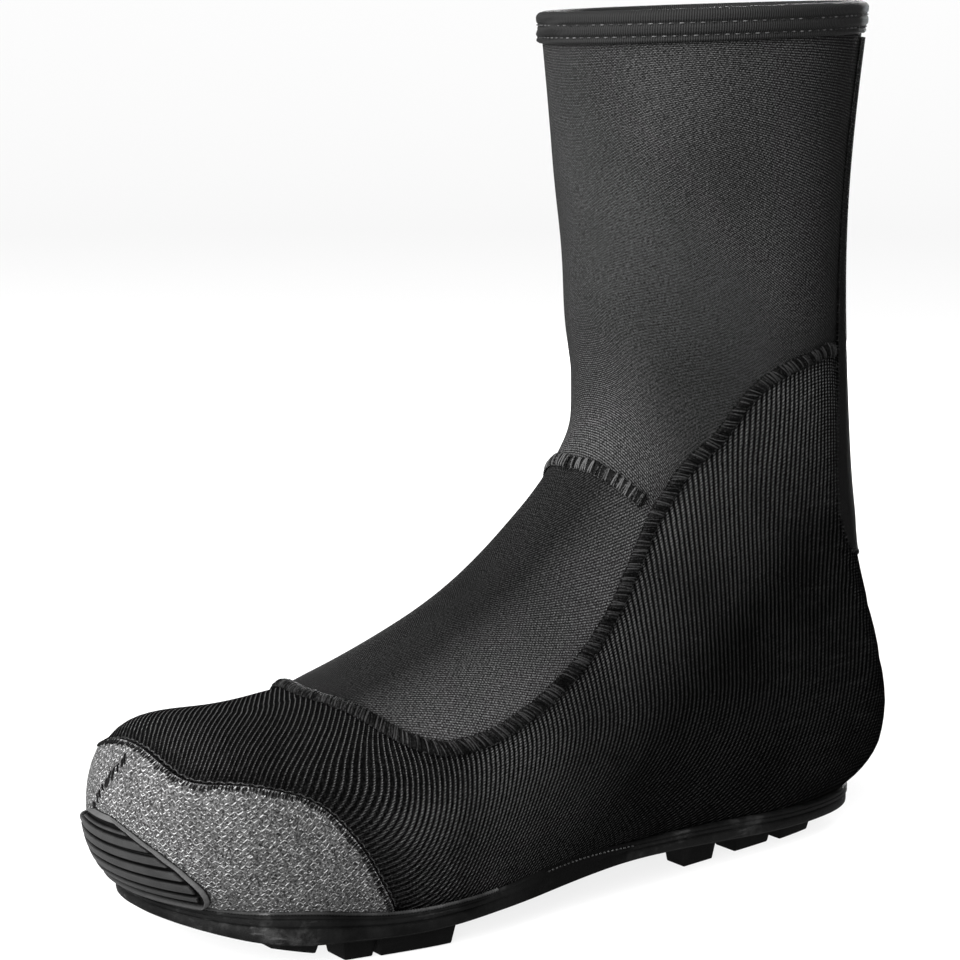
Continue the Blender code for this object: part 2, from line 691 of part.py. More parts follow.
for old in list(bpy.data.objects):
    bpy.data.objects.remove(old)
build()
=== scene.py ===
"""Looks of the cycling overshoe: cloth panels, thread seams, toe guard, bumper, sole and studio."""
import math

import bpy
import numpy as np
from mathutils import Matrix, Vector


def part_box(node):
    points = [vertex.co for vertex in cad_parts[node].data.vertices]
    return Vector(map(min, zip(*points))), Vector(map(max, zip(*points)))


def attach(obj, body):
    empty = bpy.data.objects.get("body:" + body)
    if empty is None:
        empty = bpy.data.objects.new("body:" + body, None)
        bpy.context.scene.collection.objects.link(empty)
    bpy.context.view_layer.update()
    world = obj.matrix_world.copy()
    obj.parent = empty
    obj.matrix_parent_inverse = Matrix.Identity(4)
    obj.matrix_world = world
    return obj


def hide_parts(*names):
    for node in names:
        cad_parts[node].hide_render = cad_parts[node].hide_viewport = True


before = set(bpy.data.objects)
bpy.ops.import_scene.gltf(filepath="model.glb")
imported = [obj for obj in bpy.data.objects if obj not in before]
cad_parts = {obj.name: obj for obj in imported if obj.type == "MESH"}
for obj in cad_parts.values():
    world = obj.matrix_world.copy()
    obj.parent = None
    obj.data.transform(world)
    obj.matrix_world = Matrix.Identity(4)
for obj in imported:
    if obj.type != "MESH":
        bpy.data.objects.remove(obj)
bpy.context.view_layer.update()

SCALE = 0.001
RANDOM = np.random.default_rng(7)

# Sizes that drive the form, in millimetres
UPPER_LENGTH = 297.0
BALL_WIDTH = 101.0
INSTEP_HEIGHT = 111.0
COLLAR_HEIGHT = 287.0
WALL = 3.0
GAP = 0.3
GUARD_THICKNESS = 0.9
GUARD_ABOVE_SOLE = 1.1
PANEL_THICKNESS = 1.2
PANEL_EDGE_THICKNESS = 0.25
BINDING_THICKNESS = 1.0
BINDING_DEPTH = 9.0
BINDING_ROWS = (2.9, 6.9)
BINDING_INSIDE = 7.5
PANEL_BELOW_BAND = 1.5
PANEL_EDGE_REACH = 7.0
SEAM_WIDTH = 5.6

# Raised seams: a strip, bars across it with height, slant, number in a group and gathering, and
# loops along both edges
STRIP_WIDTH = SEAM_WIDTH - 1.4
STRIP_FOOT = -0.2
BAR_WIDTH = SEAM_WIDTH - 1.1
BAR_PITCH = 0.94
SIDE_BARS = {"height": 0.80, "slant": -1.1, "group": 1, "gather": 0.0}
INSTEP_BARS = {"height": 0.45, "slant": -0.3, "group": 3, "gather": 0.55}
LOOP_PITCH = 1.6
LOOP_LENGTH = 1.2

# Thread bars over cloth edges: reach to both sides, height there, spacing, slant and radius
BAR_SIZES = ("before", "beyond", "low", "high", "pitch", "slant", "radius")
GUARD_BARS = dict(zip(BAR_SIZES, (0.8, 1.7, 1.40, 0.10, 1.0, 0.5, 0.33)))
TOE_BARS = dict(zip(BAR_SIZES, (1.5, 1.5, 1.2, 1.2, 1.9, 1.5, 0.34)))
BACK_BARS = dict(zip(BAR_SIZES, (0.8, 0.8, 0.4, 0.05, 1.5, 0.2, 0.26)))

# Collar band: grooves as depth and reach, belly, thinned hem, shoulder, and the lapped folds in front
BAND_GROOVE = (0.72, 0.75)
BAND_BELLY = 0.35
BAND_HEM = (0.45, 0.7)
BAND_SHOULDER = 1.2
LAP_FOLDS = ((7.0, 0.6), (4.0, -0.5), (10.0, -0.45))
LAP_SLOPE = 30.0
LAP_MIDDLE = 0.18
LAP_REACH = 1.2

# Stitches of the collar band: spacing, length and radius
BAND_STITCH_PITCH = 3.3
BAND_STITCH_LENGTH = 1.5
BAND_STITCH_RADIUS = 0.24

# Mesh fineness
RINGS = 150
AROUND = 168
SOLE_STEPS = 150
BAND_STEPS = 220
THREAD_SIDES = 5
BAR_STEPS = 7
EDGE_STEPS = 6
LOOP_STEPS = 4
STITCH_STEPS = 5
THREAD_ANGLE = 60.0

# Sections of the last, toe to cuff, as in the solids
COLUMNS = ("top_x", "top_z", "base_x", "base_z", "half", "mid_y", "widest", "top_power", "base_power")
FOOT_SECTIONS = {
    "tip": (0.999, 0.405, 0.999, 0.405, 0.000, -0.079, 0.50, 2.0, 2.0),
    "nose": (0.976, 0.556, 0.977, 0.212, 0.238, -0.079, 0.50, 2.1, 2.4),
    "toe": (0.944, 0.633, 0.930, 0.135, 0.376, -0.069, 0.42, 2.2, 3.0),
    "toe_box": (0.855, 0.640, 0.842, 0.090, 0.460, -0.050, 0.34, 2.3, 4.0),
    "ball": (0.727, 0.694, 0.694, 0.063, 0.500, -0.020, 0.30, 2.2, 5.0),
    "waist": (0.623, 0.815, 0.529, 0.081, 0.465, 0.000, 0.28, 2.2, 5.0),
    "instep": (0.512, 1.000, 0.327, 0.090, 0.411, 0.000, 0.26, 2.3, 5.0),
    "bend": (0.386, 1.423, 0.128, 0.063, 0.381, 0.000, 0.25, 2.5, 4.0),
}
SHAFT_SECTIONS = {
    "heel": (0.398, 0.638, -0.001, 0.082, 0.371, 0.000, 0.25, 2.6, 3.0),
    "counter": (0.405, 0.707, 0.026, 0.272, 0.381, 0.000, 0.32, 2.4, 2.3),
    "achilles": (0.409, 0.777, 0.050, 0.477, 0.396, 0.000, 0.42, 2.2, 2.1),
    "shaft": (0.415, 0.864, 0.061, 0.718, 0.436, 0.000, 0.48, 2.1, 2.0),
    "cuff": (0.425, 0.984, 0.046, 1.000, 0.510, 0.000, 0.50, 2.0, 2.0),
}
BALL = list(FOOT_SECTIONS).index("ball")
CUFF = len(FOOT_SECTIONS) + len(SHAFT_SECTIONS) - 1

# Lines drawn on the upper: section number and share of the half girth, 0 on the ridge and 1 on
# the base line
SIDE_SEAM = (
    (3.62, 0.000), (3.65, 0.065), (3.74, 0.145), (3.85, 0.226), (3.97, 0.274), (4.16, 0.313),
    (4.41, 0.332), (4.70, 0.339), (5.03, 0.334), (5.38, 0.319), (5.78, 0.293), (6.12, 0.262),
    (6.37, 0.229), (6.57, 0.206), (6.71, 0.196), (6.95, 0.200), (7.46, 0.225), (8.40, 0.303),
    (9.22, 0.409), (9.74, 0.514), (10.04, 0.600), (10.20, 0.670), (10.25, 0.708),
)
INSTEP_SEAM = ((6.58, 0.000), (6.60, 0.051), (6.63, 0.105), (6.655, 0.140), (6.68, 0.166))
GUARD_EDGE = (
    (1.32, -0.100), (1.32, 0.000), (1.33, 0.100), (1.38, 0.200), (1.62, 0.290), (2.08, 0.322),
    (2.42, 0.334), (2.71, 0.350), (2.98, 0.374), (3.14, 0.418), (3.29, 0.486), (3.41, 0.563),
    (3.51, 0.634), (3.60, 0.720),
)
PANEL_EDGE = (
    (12.6, 0.735), (11.4, 0.735), (10.27, 0.727), (9.96, 0.715), (9.58, 0.698), (9.20, 0.682),
    (9.00, 0.690), (8.95, 0.725), (9.08, 0.790), (9.24, 0.880), (9.32, 0.960), (9.33, 1.000),
)

# Middle of the toe's curve, the height at which its outline is followed, and length up its slope
TOE_MIDDLE = (225.0, -4.0)
TOE_OUTLINE_HEIGHT = 35.0
TOE_SLOPE = 1.25

# Seam between the halves of the toe guard: height, and how far it lies to the foot's left
TOE_SEAM = ((44.0, -7.5), (50.0, -4.5), (56.0, -0.5), (63.0, 3.5))

# Sole lines and side, as in the solids
SOLE_COLUMNS = ("length", "feather", "strip", "stand_out")
SOLE_LINES = (
    (0, 13.4, 6.0, 1.3), (53, 13.6, 6.8, 1.3), (84, 15.8, 8.8, 1.3), (113, 17.6, 11.2, 1.3),
    (132, 18.5, 12.0, 0.6), (154, 19.2, 10.6, -1.4), (179, 17.2, 8.6, -1.0), (194, 15.4, 8.0, 0.6),
    (206, 14.8, 7.4, 1.3), (226, 14.5, 6.8, 1.4), (242, 16.4, 7.6, 1.4), (258, 18.8, 8.6, 1.4),
    (272, 19.4, 10.8, 1.4), (283, 20.0, 13.2, 1.4), (298, 22.0, 16.4, 1.4),
)
STRIP_PROFILE = (
    (0.00, 0.0), (0.03, 0.35), (0.08, 0.55), (0.14, 0.55), (0.17, 0.25), (0.21, 0.25), (0.24, 0.50),
    (0.30, 0.55), (0.38, 0.45), (0.44, -0.15), (0.49, -0.35), (0.54, -0.10), (0.60, 0.15), (0.80, 0.15),
    (0.95, -0.05), (1.00, -0.35),
)
SOLE_EDGE_DROP = 0.8
SOLE_EDGE_INSET = 1.8
SOLE_EDGE_ROUND = ((0.55, 0.9), (1.0, 1.0))
SOLE_ANGLE = 35.0

# Lugs: length of front and back from the heel, rise of both above the floor, inset and width
LUGS = {
    "toe": (264, 251, 6.6, 3.6, 5.0, 10.0),
    "ball_front": (242, 233, 0.0, 0.0, 5.0, 10.0),
    "ball": (231, 207, 0.0, 0.0, 4.0, 13.0),
    "tread": (187, 176, 6.2, 6.4, 5.0, 10.0),
    "heel_front": (101, 87, 0.0, 0.0, 9.0, 9.0),
    "heel": (76, 59, 0.0, 0.0, 9.0, 10.0),
    "heel_back": (54, 38, 0.0, 0.0, 7.5, 9.0),
}
LUG_DRAFT = 1.6
LUG_SEAT = 2.0
LUG_STEPS = 6
LUG_WEAR = 0.6
LUG_BELOW_STRIP = 1.2

# Corded bead round the forefoot
BEAD_FROM = 192.0
BEAD_PITCH = 0.95
BEAD_OUT = 0.65
BEAD_LIFT = 0.05
BEAD_RADII = (0.36, 0.66)
BEAD_SIDES = 7

# Where the cloth turns under the arch: painted shade on the sole, by place along the shoe in metres,
# and the hem's stitches
ARCH_PAINTED_SHADE = ((-0.004, 0.006), (0.040, 0.052))
HEM_RANGE = (133.0, 172.0)
HEM_PITCH = 1.7
HEM_STITCH = 0.9
HEM_RADIUS = 0.27
HEM_OUT = 0.6
HEM_DOWN = 0.22

# Toe bumper: the rim falls and the ribs end at distances from its edge, and a rib rises and falls
# at shares of its pitch
BUMPER_TOP = 45.5
BUMPER_BASE = GAP + GUARD_THICKNESS + GAP + 0.1
BUMPER_RIM = 1.7
BUMPER_RIB = 1.5
BUMPER_GROOVE = 0.30
BUMPER_FOOT = 26.0
BUMPER_ABOVE_SOLE = 1.0
BUMPER_LEAST = 0.25
BUMPER_RIBS = 6
RIM_FALL = (1.3, 1.9)
RIM_ROUNDING = 0.9
RIB_FIRST = 0.05
RIB_SPAN = 0.88
RIB_RISE = (0.24, 0.33)
RIB_FALL = (0.95, 1.0)
RIB_END = (2.9, 3.5)
BUMPER_ROWS = 96
BUMPER_COLUMNS = 120
BUMPER_HALF = (
    (0.00, 28.0), (0.03, 31.0), (0.08, 33.4), (0.15, 35.0), (0.22, 35.5), (0.29, 35.2), (0.36, 34.0),
    (0.52, 30.0), (0.70, 23.0), (0.88, 13.5), (0.95, 8.8), (1.00, 4.5),
)

# Ribbed cloth: pitch across the ribs, and how far they sweep forward towards the sole by length
RIB_PITCH = 1.82
RIB_SWEEP = (
    (0, 0.5), (60, 0.6), (110, 1.2), (135, 1.45), (160, 1.2), (185, 0.8), (210, 0.55), (240, 1.0),
    (300, 1.0),
)
RIB_HEEL_TURN = 38.0
RIB_LEAN = 25.8
RIB_TILT = 0.55
RIB_TOE_TILT = 0.24
RIB_STRAIGHT_ABOVE = 64.0
RIB_FLAT_REACH = 7.0
RIB_NARROW_LENGTHS = (185.0, 215.0)
RIB_NARROW_GIRTHS = (0.30, 0.46)
STITCH_PITCH = 1.15

# Jersey: spacing of the rows and of the loops in a row
JERSEY_ROW = 0.85
JERSEY_LOOP = 1.15

# Guard cloth: spacing of the stroke rows and length of a hooked stroke
STROKE_ROW = 1.60
STROKE_REPEAT = 2.4

# Thread beside the guard's edge: distance, height and radius
GUARD_THREAD = 1.15
GUARD_THREAD_LIFT = 0.02
GUARD_THREAD_RADIUS = 0.22

# Soft troughs and ridges pressed into the cloth: section number, girth share, length along the
# number axis and the girth axis, and height
CREASES = {
    "ankle_front": (6.86, 0.00, 0.16, 0.16, -0.9),
    "ankle_front_low": (6.42, 0.05, 0.14, 0.12, -0.35),
    "ankle_roll": (7.35, 0.04, 0.30, 0.14, 0.7),
    "ankle_side": (7.60, 0.20, 0.22, 0.09, -0.25),
    "instep_ridge": (5.20, 0.05, 0.90, 0.035, 0.35),
    "instep_hollow": (5.30, 0.13, 0.80, 0.040, -0.30),
    "shaft_front": (10.4, 0.18, 0.70, 0.09, 0.7),
    "shaft_side": (10.9, 0.42, 0.80, 0.10, -0.8),
    "shaft_back": (11.2, 0.62, 0.60, 0.08, 0.5),
    "heel_pull_high": (8.75, 0.80, 0.05, 0.16, -0.45),
    "heel_pull": (8.45, 0.84, 0.06, 0.14, -0.40),
    "heel_pull_low": (8.05, 0.88, 0.06, 0.12, -0.40),
    "waist_side": (5.05, 0.50, 0.35, 0.07, -0.5),
    "toe_side": (3.35, 0.30, 0.30, 0.05, -0.35),
}


# Cloth pressed in along the seams: depth and reach; no ridge rises under the side seam's strip
SEAM_PRESS = (0.55, 4.0)
SEAM_HOLLOW = (0.30, 11.0)
INSTEP_PRESS = (0.5, 4.0)
GUARD_PRESS = (0.35, 3.0)
UNDER_SEAM = 2.6


def spline(knots, values, at):
    """Natural cubic spline through the values, one column each."""
    knots = np.asarray(knots, float)
    values = np.asarray(values, float)
    values = values.reshape(len(knots), -1)
    count = len(knots)
    step = np.diff(knots)
    matrix = np.eye(count)
    right = np.zeros_like(values)
    for i in range(1, count - 1):
        matrix[i, i - 1:i + 2] = (step[i - 1], 2.0 * (step[i - 1] + step[i]), step[i])
        slope = (values[i + 1] - values[i]) / step[i]
        right[i] = 6.0 * (slope - (values[i] - values[i - 1]) / step[i - 1])
    bend = np.linalg.solve(matrix, right)
    at = np.atleast_1d(np.asarray(at, float))
    i = np.clip(np.searchsorted(knots, at) - 1, 0, count - 2)
    h = step[i][:, None]
    a = (knots[i + 1] - at)[:, None] / h
    b = 1.0 - a
    curve = ((a ** 3 - a) * bend[i] + (b ** 3 - b) * bend[i + 1]) * h * h / 6.0
    return a * values[i] + b * values[i + 1] + curve


def unit(vectors):
    """Vectors at length one."""
    return vectors / np.maximum(np.linalg.norm(vectors, axis=-1, keepdims=True), 1e-9)


def smooth(low, high, values):
    """Smooth step from 0 to 1 between two values."""
    t = np.clip((np.asarray(values, float) - low) / (high - low), 0.0, 1.0)
    return t * t * (3.0 - 2.0 * t)


def running(steps):
    """Running total of steps, from zero."""
    return np.concatenate([[0.0], np.cumsum(steps)])


def step_lengths(points):
    """Lengths of the steps between points of a path."""
    return np.linalg.norm(np.diff(points, axis=0), axis=1)


def run_along(points):
    """Distance run along a path of points."""
    return running(step_lengths(points))


def at_run(values, run, places):
    """Rows of values at places along a run."""
    return np.stack([np.interp(places, run, values[:, k]) for k in range(values.shape[1])], axis=1)


def both_faces(values):
    """Values for the outer and the inner face of a shell."""
    return np.concatenate([values, values])


def last_table():
    """Sections in millimetres, with two mirrored behind the tip so that the nose is round."""
    rows = []
    for sections, height in ((FOOT_SECTIONS, INSTEP_HEIGHT), (SHAFT_SECTIONS, COLLAR_HEIGHT)):
        sizes = (UPPER_LENGTH, height, UPPER_LENGTH, height, BALL_WIDTH, BALL_WIDTH, 1.0, 1.0, 1.0)
        for row in sections.values():
            rows.append(np.multiply(row, sizes))
    rows = np.array(rows)
    behind = rows[1:3][::-1].copy()
    behind[:, :4] = behind[:, [2, 3, 0, 1]]
    behind[:, COLUMNS.index("half")] *= -1.0
    return np.vstack([behind, rows])


LAST = last_table()
TOP_RUN = step_lengths(LAST[:, 0:2])
BASE_RUN = step_lengths(LAST[:, 2:4])
HALF_RUN = np.abs(np.diff(LAST[:, COLUMNS.index("half")]))
KNOTS = running(0.5 * TOP_RUN + 0.5 * BASE_RUN + 0.3 * HALF_RUN)
FINE_STEPS = 200
FINE_NUMBERS = np.linspace(0.0, CUFF, CUFF * FINE_STEPS + 1)
FINE_ROWS = spline(KNOTS, LAST, np.interp(FINE_NUMBERS, np.arange(CUFF + 1), KNOTS[2:]))


def section(number):
    """One section of the last, by its number from the tip."""
    place = min(max(number, 0.0), CUFF) * FINE_STEPS
    i = min(int(place), len(FINE_ROWS) - 2)
    t = place - i
    return dict(zip(COLUMNS, FINE_ROWS[i] * (1.0 - t) + FINE_ROWS[i + 1] * t))


def half_outline(row):
    """Height share and half width along a half section from its base, with the run along it."""
    turn = np.linspace(-math.pi / 2, math.pi / 2, 121)
    power = np.where(turn < 0.0, row["base_power"], row["top_power"])
    width = np.abs(np.cos(turn)) ** (2.0 / power)
    rise = np.sign(turn) * np.abs(np.sin(turn)) ** (2.0 / power)
    widest = row["widest"]
    share = np.where(rise < 0.0, widest * (1.0 + rise), widest + rise * (1.0 - widest))
    span = math.hypot(row["top_x"] - row["base_x"], row["top_z"] - row["base_z"])
    return share, width, running(np.hypot(np.diff(share) * span, np.diff(width) * row["half"]))


def section_points(number, girths):
    """Points of one section; girth is 0 on the ridge, 1 on the base by the left, -1 by the right."""
    row = section(number)
    share, width, run = half_outline(row)
    girths = np.asarray(girths, float)
    along = (1.0 - np.abs(girths)) * run[-1]
    height = np.interp(along, run, share)
    across = np.interp(along, run, width) * np.sign(girths)
    x = row["base_x"] + height * (row["top_x"] - row["base_x"])
    z = row["base_z"] + height * (row["top_z"] - row["base_z"])
    y = row["mid_y"] + across * row["half"]
    return np.stack([x, y, z], axis=-1)


def half_girth(number):
    """Length of a half section."""
    return half_outline(section(number))[2][-1]


GIRTH_NUMBERS = np.linspace(0.0, CUFF, 121)
GIRTHS = np.array([half_girth(n) for n in GIRTH_NUMBERS])


def surface(numbers, girths):
    """Points of the upper's outside at pairs of section number and girth."""
    return np.array([section_points(n, [g])[0] for n, g in zip(numbers, girths)])


def surface_normals(numbers, girths):
    """Outward normals of the upper's outside at the same pairs."""
    numbers = np.clip(numbers, 0.05, CUFF - 0.05)
    girths = np.asarray(girths, float)
    along = surface(numbers + 0.03, girths) - surface(numbers - 0.03, girths)
    around = surface(numbers, girths + 0.01) - surface(numbers, girths - 0.01)
    return unit(np.cross(around, along))


def line_path(line, count):
    """Even points along a line drawn on the upper."""
    line = np.array(line)
    path = spline(np.arange(len(line)), line, np.linspace(0.0, len(line) - 1.0, 14 * len(line)))
    points = surface(path[:, 0], path[:, 1])
    run = run_along(points)
    return at_run(path, run, np.linspace(0.0, run[-1], count))


class Skin:
    """A triangulated piece of the upper's outside, with normals and drawing coordinates."""

    def __init__(self, points, normals, drawing, triangles):
        self.points = points
        self.normals = normals
        self.drawing = drawing
        self.triangles = triangles

    def split(self, field):
        """Cut along the field's zero line: the same piece with whole triangles on each side."""
        field = np.where(np.abs(field) < 0.02, 0.0, field)
        points = list(self.points)
        normals = list(self.normals)
        drawing = list(self.drawing)
        values = list(field)
        corner_values = field[self.triangles]
        low = corner_values.min(axis=1)
        high = corner_values.max(axis=1)
        whole = self.triangles[(low >= 0.0) | (high <= 0.0)]
        triangles = [tuple(t) for t in whole]
        made = {}

        def crossing(i, j):
            key = (min(i, j), max(i, j))
            if key not in made:
                t = values[key[0]] / (values[key[0]] - values[key[1]])
                made[key] = len(points)
                points.append(points[key[0]] * (1 - t) + points[key[1]] * t)
                normals.append(unit(normals[key[0]] * (1 - t) + normals[key[1]] * t))
                drawing.append(drawing[key[0]] * (1 - t) + drawing[key[1]] * t)
                values.append(0.0)
            return made[key]

        for triangle in self.triangles[(low < 0.0) & (high > 0.0)]:
            for turn in (1.0, -1.0):
                loop = []
                for i, j in zip(triangle, np.roll(triangle, -1)):
                    if turn * values[i] >= 0.0:
                        loop.append(i)
                    if values[i] * values[j] < 0.0:
                        loop.append(crossing(i, j))
                for k in range(1, len(loop) - 1):
                    triangles.append((loop[0], loop[k], loop[k + 1]))
        made_skin = Skin(np.array(points), np.array(normals), np.array(drawing), np.array(triangles))
        return made_skin, np.array(values)

    def cut(self, field):
        """The piece where the field is positive."""
        whole, values = self.split(field)
        kept = whole.triangles[values[whole.triangles].max(axis=1) > 0.0]
        return whole.only(kept)

    def only(self, triangles):
        """The piece made of some of the triangles."""
        used, renumbered = np.unique(triangles, return_inverse=True)
        return Skin(
            self.points[used], self.normals[used], self.drawing[used], renumbered.reshape(-1, 3)
        )

    def borders(self):
        """Directed border edges of the piece."""
        a, b, c = self.triangles.T
        edges = np.vstack([np.stack([a, b], 1), np.stack([b, c], 1), np.stack([c, a], 1)])
        count = len(self.points)
        forward = edges[:, 0].astype(np.int64) * count + edges[:, 1]
        backward = edges[:, 1].astype(np.int64) * count + edges[:, 0]
        return edges[~np.isin(forward, backward)]

    def shell(self, inner, outer):
        """Vertices and faces of a closed wall between two offsets; outer faces come first."""
        count = len(self.points)
        vertices = np.vstack([
            self.points + self.normals * np.reshape(outer, (-1, 1)),
            self.points + self.normals * np.reshape(inner, (-1, 1)),
        ])
        border = self.borders()
        a, b = border.T
        faces = np.vstack([
            self.triangles,
            self.triangles[:, ::-1] + count,
            np.stack([b, a, a + count], axis=1),
            np.stack([b, a + count, b + count], axis=1),
        ])
        return vertices, faces


def whole_skin():
    """The upper's outside from the tip to the cuff, closed round its base."""
    fine = np.linspace(0.0, CUFF, 481)
    ridge = surface(fine, np.zeros(len(fine)))
    base = surface(fine, np.ones(len(fine)))
    run = running(step_lengths(ridge) + step_lengths(base))
    numbers = np.interp(np.linspace(0.0, run[-1], RINGS + 1), run, fine)
    girths = -1.0 + 2.0 * np.arange(AROUND) / AROUND
    rings = [section_points(n, girths) for n in numbers[1:]]
    points = np.vstack([section_points(0.0, [0.0])] + rings)
    drawing = [(0.0, 0.5)]
    for number in numbers[1:]:
        drawing += [(number, abs(g)) for g in girths]
    j = np.arange(AROUND)
    k = (j + 1) % AROUND
    triangles = [np.stack([np.zeros(AROUND, int), 1 + k, 1 + j], axis=1)]
    for i in range(RINGS - 1):
        a = 1 + i * AROUND
        b = a + AROUND
        triangles.append(np.stack([a + j, b + k, b + j], axis=1))
        triangles.append(np.stack([a + j, a + k, b + k], axis=1))
    triangles = np.vstack(triangles)
    corners = points[triangles]
    facing = np.cross(corners[:, 1] - corners[:, 0], corners[:, 2] - corners[:, 0])
    normals = np.zeros_like(points)
    for corner in range(3):
        np.add.at(normals, triangles[:, corner], facing)
    return Skin(points, unit(normals), np.array(drawing), triangles)


def side_of_line(line, drawing):
    """Signed distance of drawing points from a line, about in millimetres, positive on its left."""
    scale = np.array([25.0, 170.0])
    line = np.array(line)
    steps = np.linspace(0.0, len(line) - 1.0, 8 * len(line))
    path = spline(np.arange(len(line)), line, steps) * scale
    start = path[:-1]
    run = np.diff(path, axis=0)
    length = (run * run).sum(-1)
    signed = np.empty(len(drawing))
    for first in range(0, len(drawing), 4000):
        points = drawing[first:first + 4000] * scale
        away = points[:, None] - start[None]
        share = np.clip((away * run).sum(-1) / length, 0.0, 1.0)
        away = away - share[..., None] * run
        distance = np.linalg.norm(away, axis=-1)
        nearest = distance.argmin(axis=1)
        rows = np.arange(len(points))
        cross = run[nearest, 0] * away[rows, nearest, 1] - run[nearest, 1] * away[rows, nearest, 0]
        signed[first:first + 4000] = np.sign(cross) * distance[rows, nearest]
    return signed


def sole_line(name, x):
    """One line of the sole at lengths from the heel."""
    table = np.array(SOLE_LINES, float)
    return spline(table[:, 0], table[:, SOLE_COLUMNS.index(name)], x)[:, 0]


def feather_height(points):
    """Height of points above the line where the upper ends."""
    return points[:, 2] - sole_line("feather", points[:, 0])


def crease_height(drawing):
    """Height of the listed troughs and ridges."""
    total = np.zeros(len(drawing))
    for number, girth, number_reach, girth_reach, height in CREASES.values():
        ahead = (drawing[:, 0] - number) / number_reach
        aside = (drawing[:, 1] - girth) / girth_reach
        total += height * np.exp(-(ahead ** 2 + aside ** 2))
    return total


def trough(distance, depth, reach):
    """Depth of a soft trough along a line, by distance from it."""
    return depth * np.exp(-(distance / reach) ** 2)


def middle_line(drawing):
    """Side of the shoe's middle line at drawing points."""
    return np.interp(drawing[:, 0], FINE_NUMBERS, FINE_ROWS[:, COLUMNS.index("mid_y")])


def ridge_distance(drawing):
    """Distance of drawing points from the ridge."""
    return drawing[:, 1] * np.interp(drawing[:, 0], GIRTH_NUMBERS, GIRTHS)


def rib_coordinates(points, drawing):
    """Across and along the ribs of the ribbed cloth, in millimetres."""
    x, y, z = points.T
    aside = y - middle_line(drawing)
    from_ridge = ridge_distance(drawing)
    heel_angle = np.arctan2(RIB_HEEL_TURN - x, np.maximum(np.abs(aside), 1e-6))
    across = np.where(x < RIB_HEEL_TURN, RIB_HEEL_TURN - RIB_HEEL_TURN * heel_angle, x)
    table = np.array(RIB_SWEEP, float)
    sweep = spline(table[:, 0], table[:, 1], x)[:, 0]
    across = across - sweep * np.maximum(RIB_STRAIGHT_ABOVE - z, 0.0) ** 2 / 60.0
    left_lean = RIB_LEAN - RIB_TILT * from_ridge - 0.004 * from_ridge ** 2
    right_lean = RIB_LEAN + RIB_TILT * from_ridge + 0.003 * from_ridge ** 2
    left = 0.5 * (left_lean + np.sqrt(left_lean ** 2 + 30.0)) * smooth(188.0, 226.0, x)
    right = np.minimum(right_lean, 70.0) * smooth(60.0, 226.0, x)
    toe_lean = RIB_TOE_TILT * from_ridge * smooth(222.0, 268.0, x)
    across = across + np.where(aside >= 0.0, left - toe_lean, right + toe_lean)
    stretch = smooth(95.0, 30.0, x) * smooth(22.0, 40.0, z) * smooth(150.0, 110.0, z)
    return np.stack([across, z - np.abs(aside), stretch], axis=1)


def cloth_coordinates(points, drawing):
    """Along the shoe and from the ridge, in millimetres."""
    along = np.interp(drawing[:, 0], np.arange(CUFF + 1), KNOTS[2:])
    side = np.where(points[:, 1] >= middle_line(drawing), 1.0, -1.0)
    return np.stack([along, ridge_distance(drawing) * side, np.zeros(len(points))], axis=1)


def sole_loop(upper):
    """Left and right points of the upper's lower edge at even steps from heel to toe."""
    border = upper.borders()
    after = {a: b for a, b in border if upper.points[a, 2] < 100.0}
    first = next(iter(after))
    loop = [first]
    while after[loop[-1]] != first:
        loop.append(after[loop[-1]])
    loop = upper.points[loop]
    loop = np.roll(loop, -loop[:, 0].argmin(), axis=0)
    toe = loop[:, 0].argmax()
    sides = []
    for path in (loop[:toe + 1], np.vstack([loop[toe:], loop[:1]])[::-1]):
        run = run_along(path)
        sides.append(at_run(path, run, np.linspace(0.0, run[-1], SOLE_STEPS + 1)))
    sides.sort(key=lambda side: -side[SOLE_STEPS // 2, 1])
    return sides


def outward(loop):
    """Level outward directions of a closed loop that runs against the clock."""
    along = np.roll(loop, -3, axis=0) - np.roll(loop, 3, axis=0)
    return unit(np.stack([along[:, 1], -along[:, 0], np.zeros(len(loop))], axis=1))


def outsole_mesh(left, right):
    """Sole body: a flat top, the stepped side strip and a flat underside."""
    loop = np.vstack([right, left[-2:0:-1]])
    direction = outward(loop)
    x = loop[:, 0]
    top = sole_line("feather", x) - GAP
    strip = sole_line("strip", x)
    stand_out = sole_line("stand_out", x)
    relief = np.clip((stand_out + 1.4) / 2.7, 0.0, 1.0)
    layers = []
    for share, beyond in STRIP_PROFILE:
        layer = loop + direction * (stand_out + beyond * relief)[:, None]
        layer[:, 2] = top + share * (strip - top)
        layers.append(layer)
    for drop, inset in SOLE_EDGE_ROUND:
        under = loop + direction * (stand_out - inset * SOLE_EDGE_INSET)[:, None]
        under[:, 2] = strip - drop * SOLE_EDGE_DROP
        layers.append(under)
    count = len(loop)
    vertices = np.vstack(layers)
    i = np.arange(count)
    j = (i + 1) % count
    faces = []
    for k in range(len(layers) - 1):
        a = k * count
        b = a + count
        faces.append(np.stack([a + i, b + i, b + j], axis=1))
        faces.append(np.stack([a + i, b + j, a + j], axis=1))
    ladder = []
    for step in range(SOLE_STEPS):
        near = (step, step + 1)
        far = ((count - step) % count, count - step - 1)
        for triangle in ((near[0], near[1], far[1]), (near[0], far[1], far[0])):
            if len(set(triangle)) == 3:
                ladder.append(triangle)
    ladder = np.array(ladder)
    faces.append(ladder)
    faces.append(ladder[:, ::-1] + (len(layers) - 1) * count)
    return vertices, np.vstack(faces)


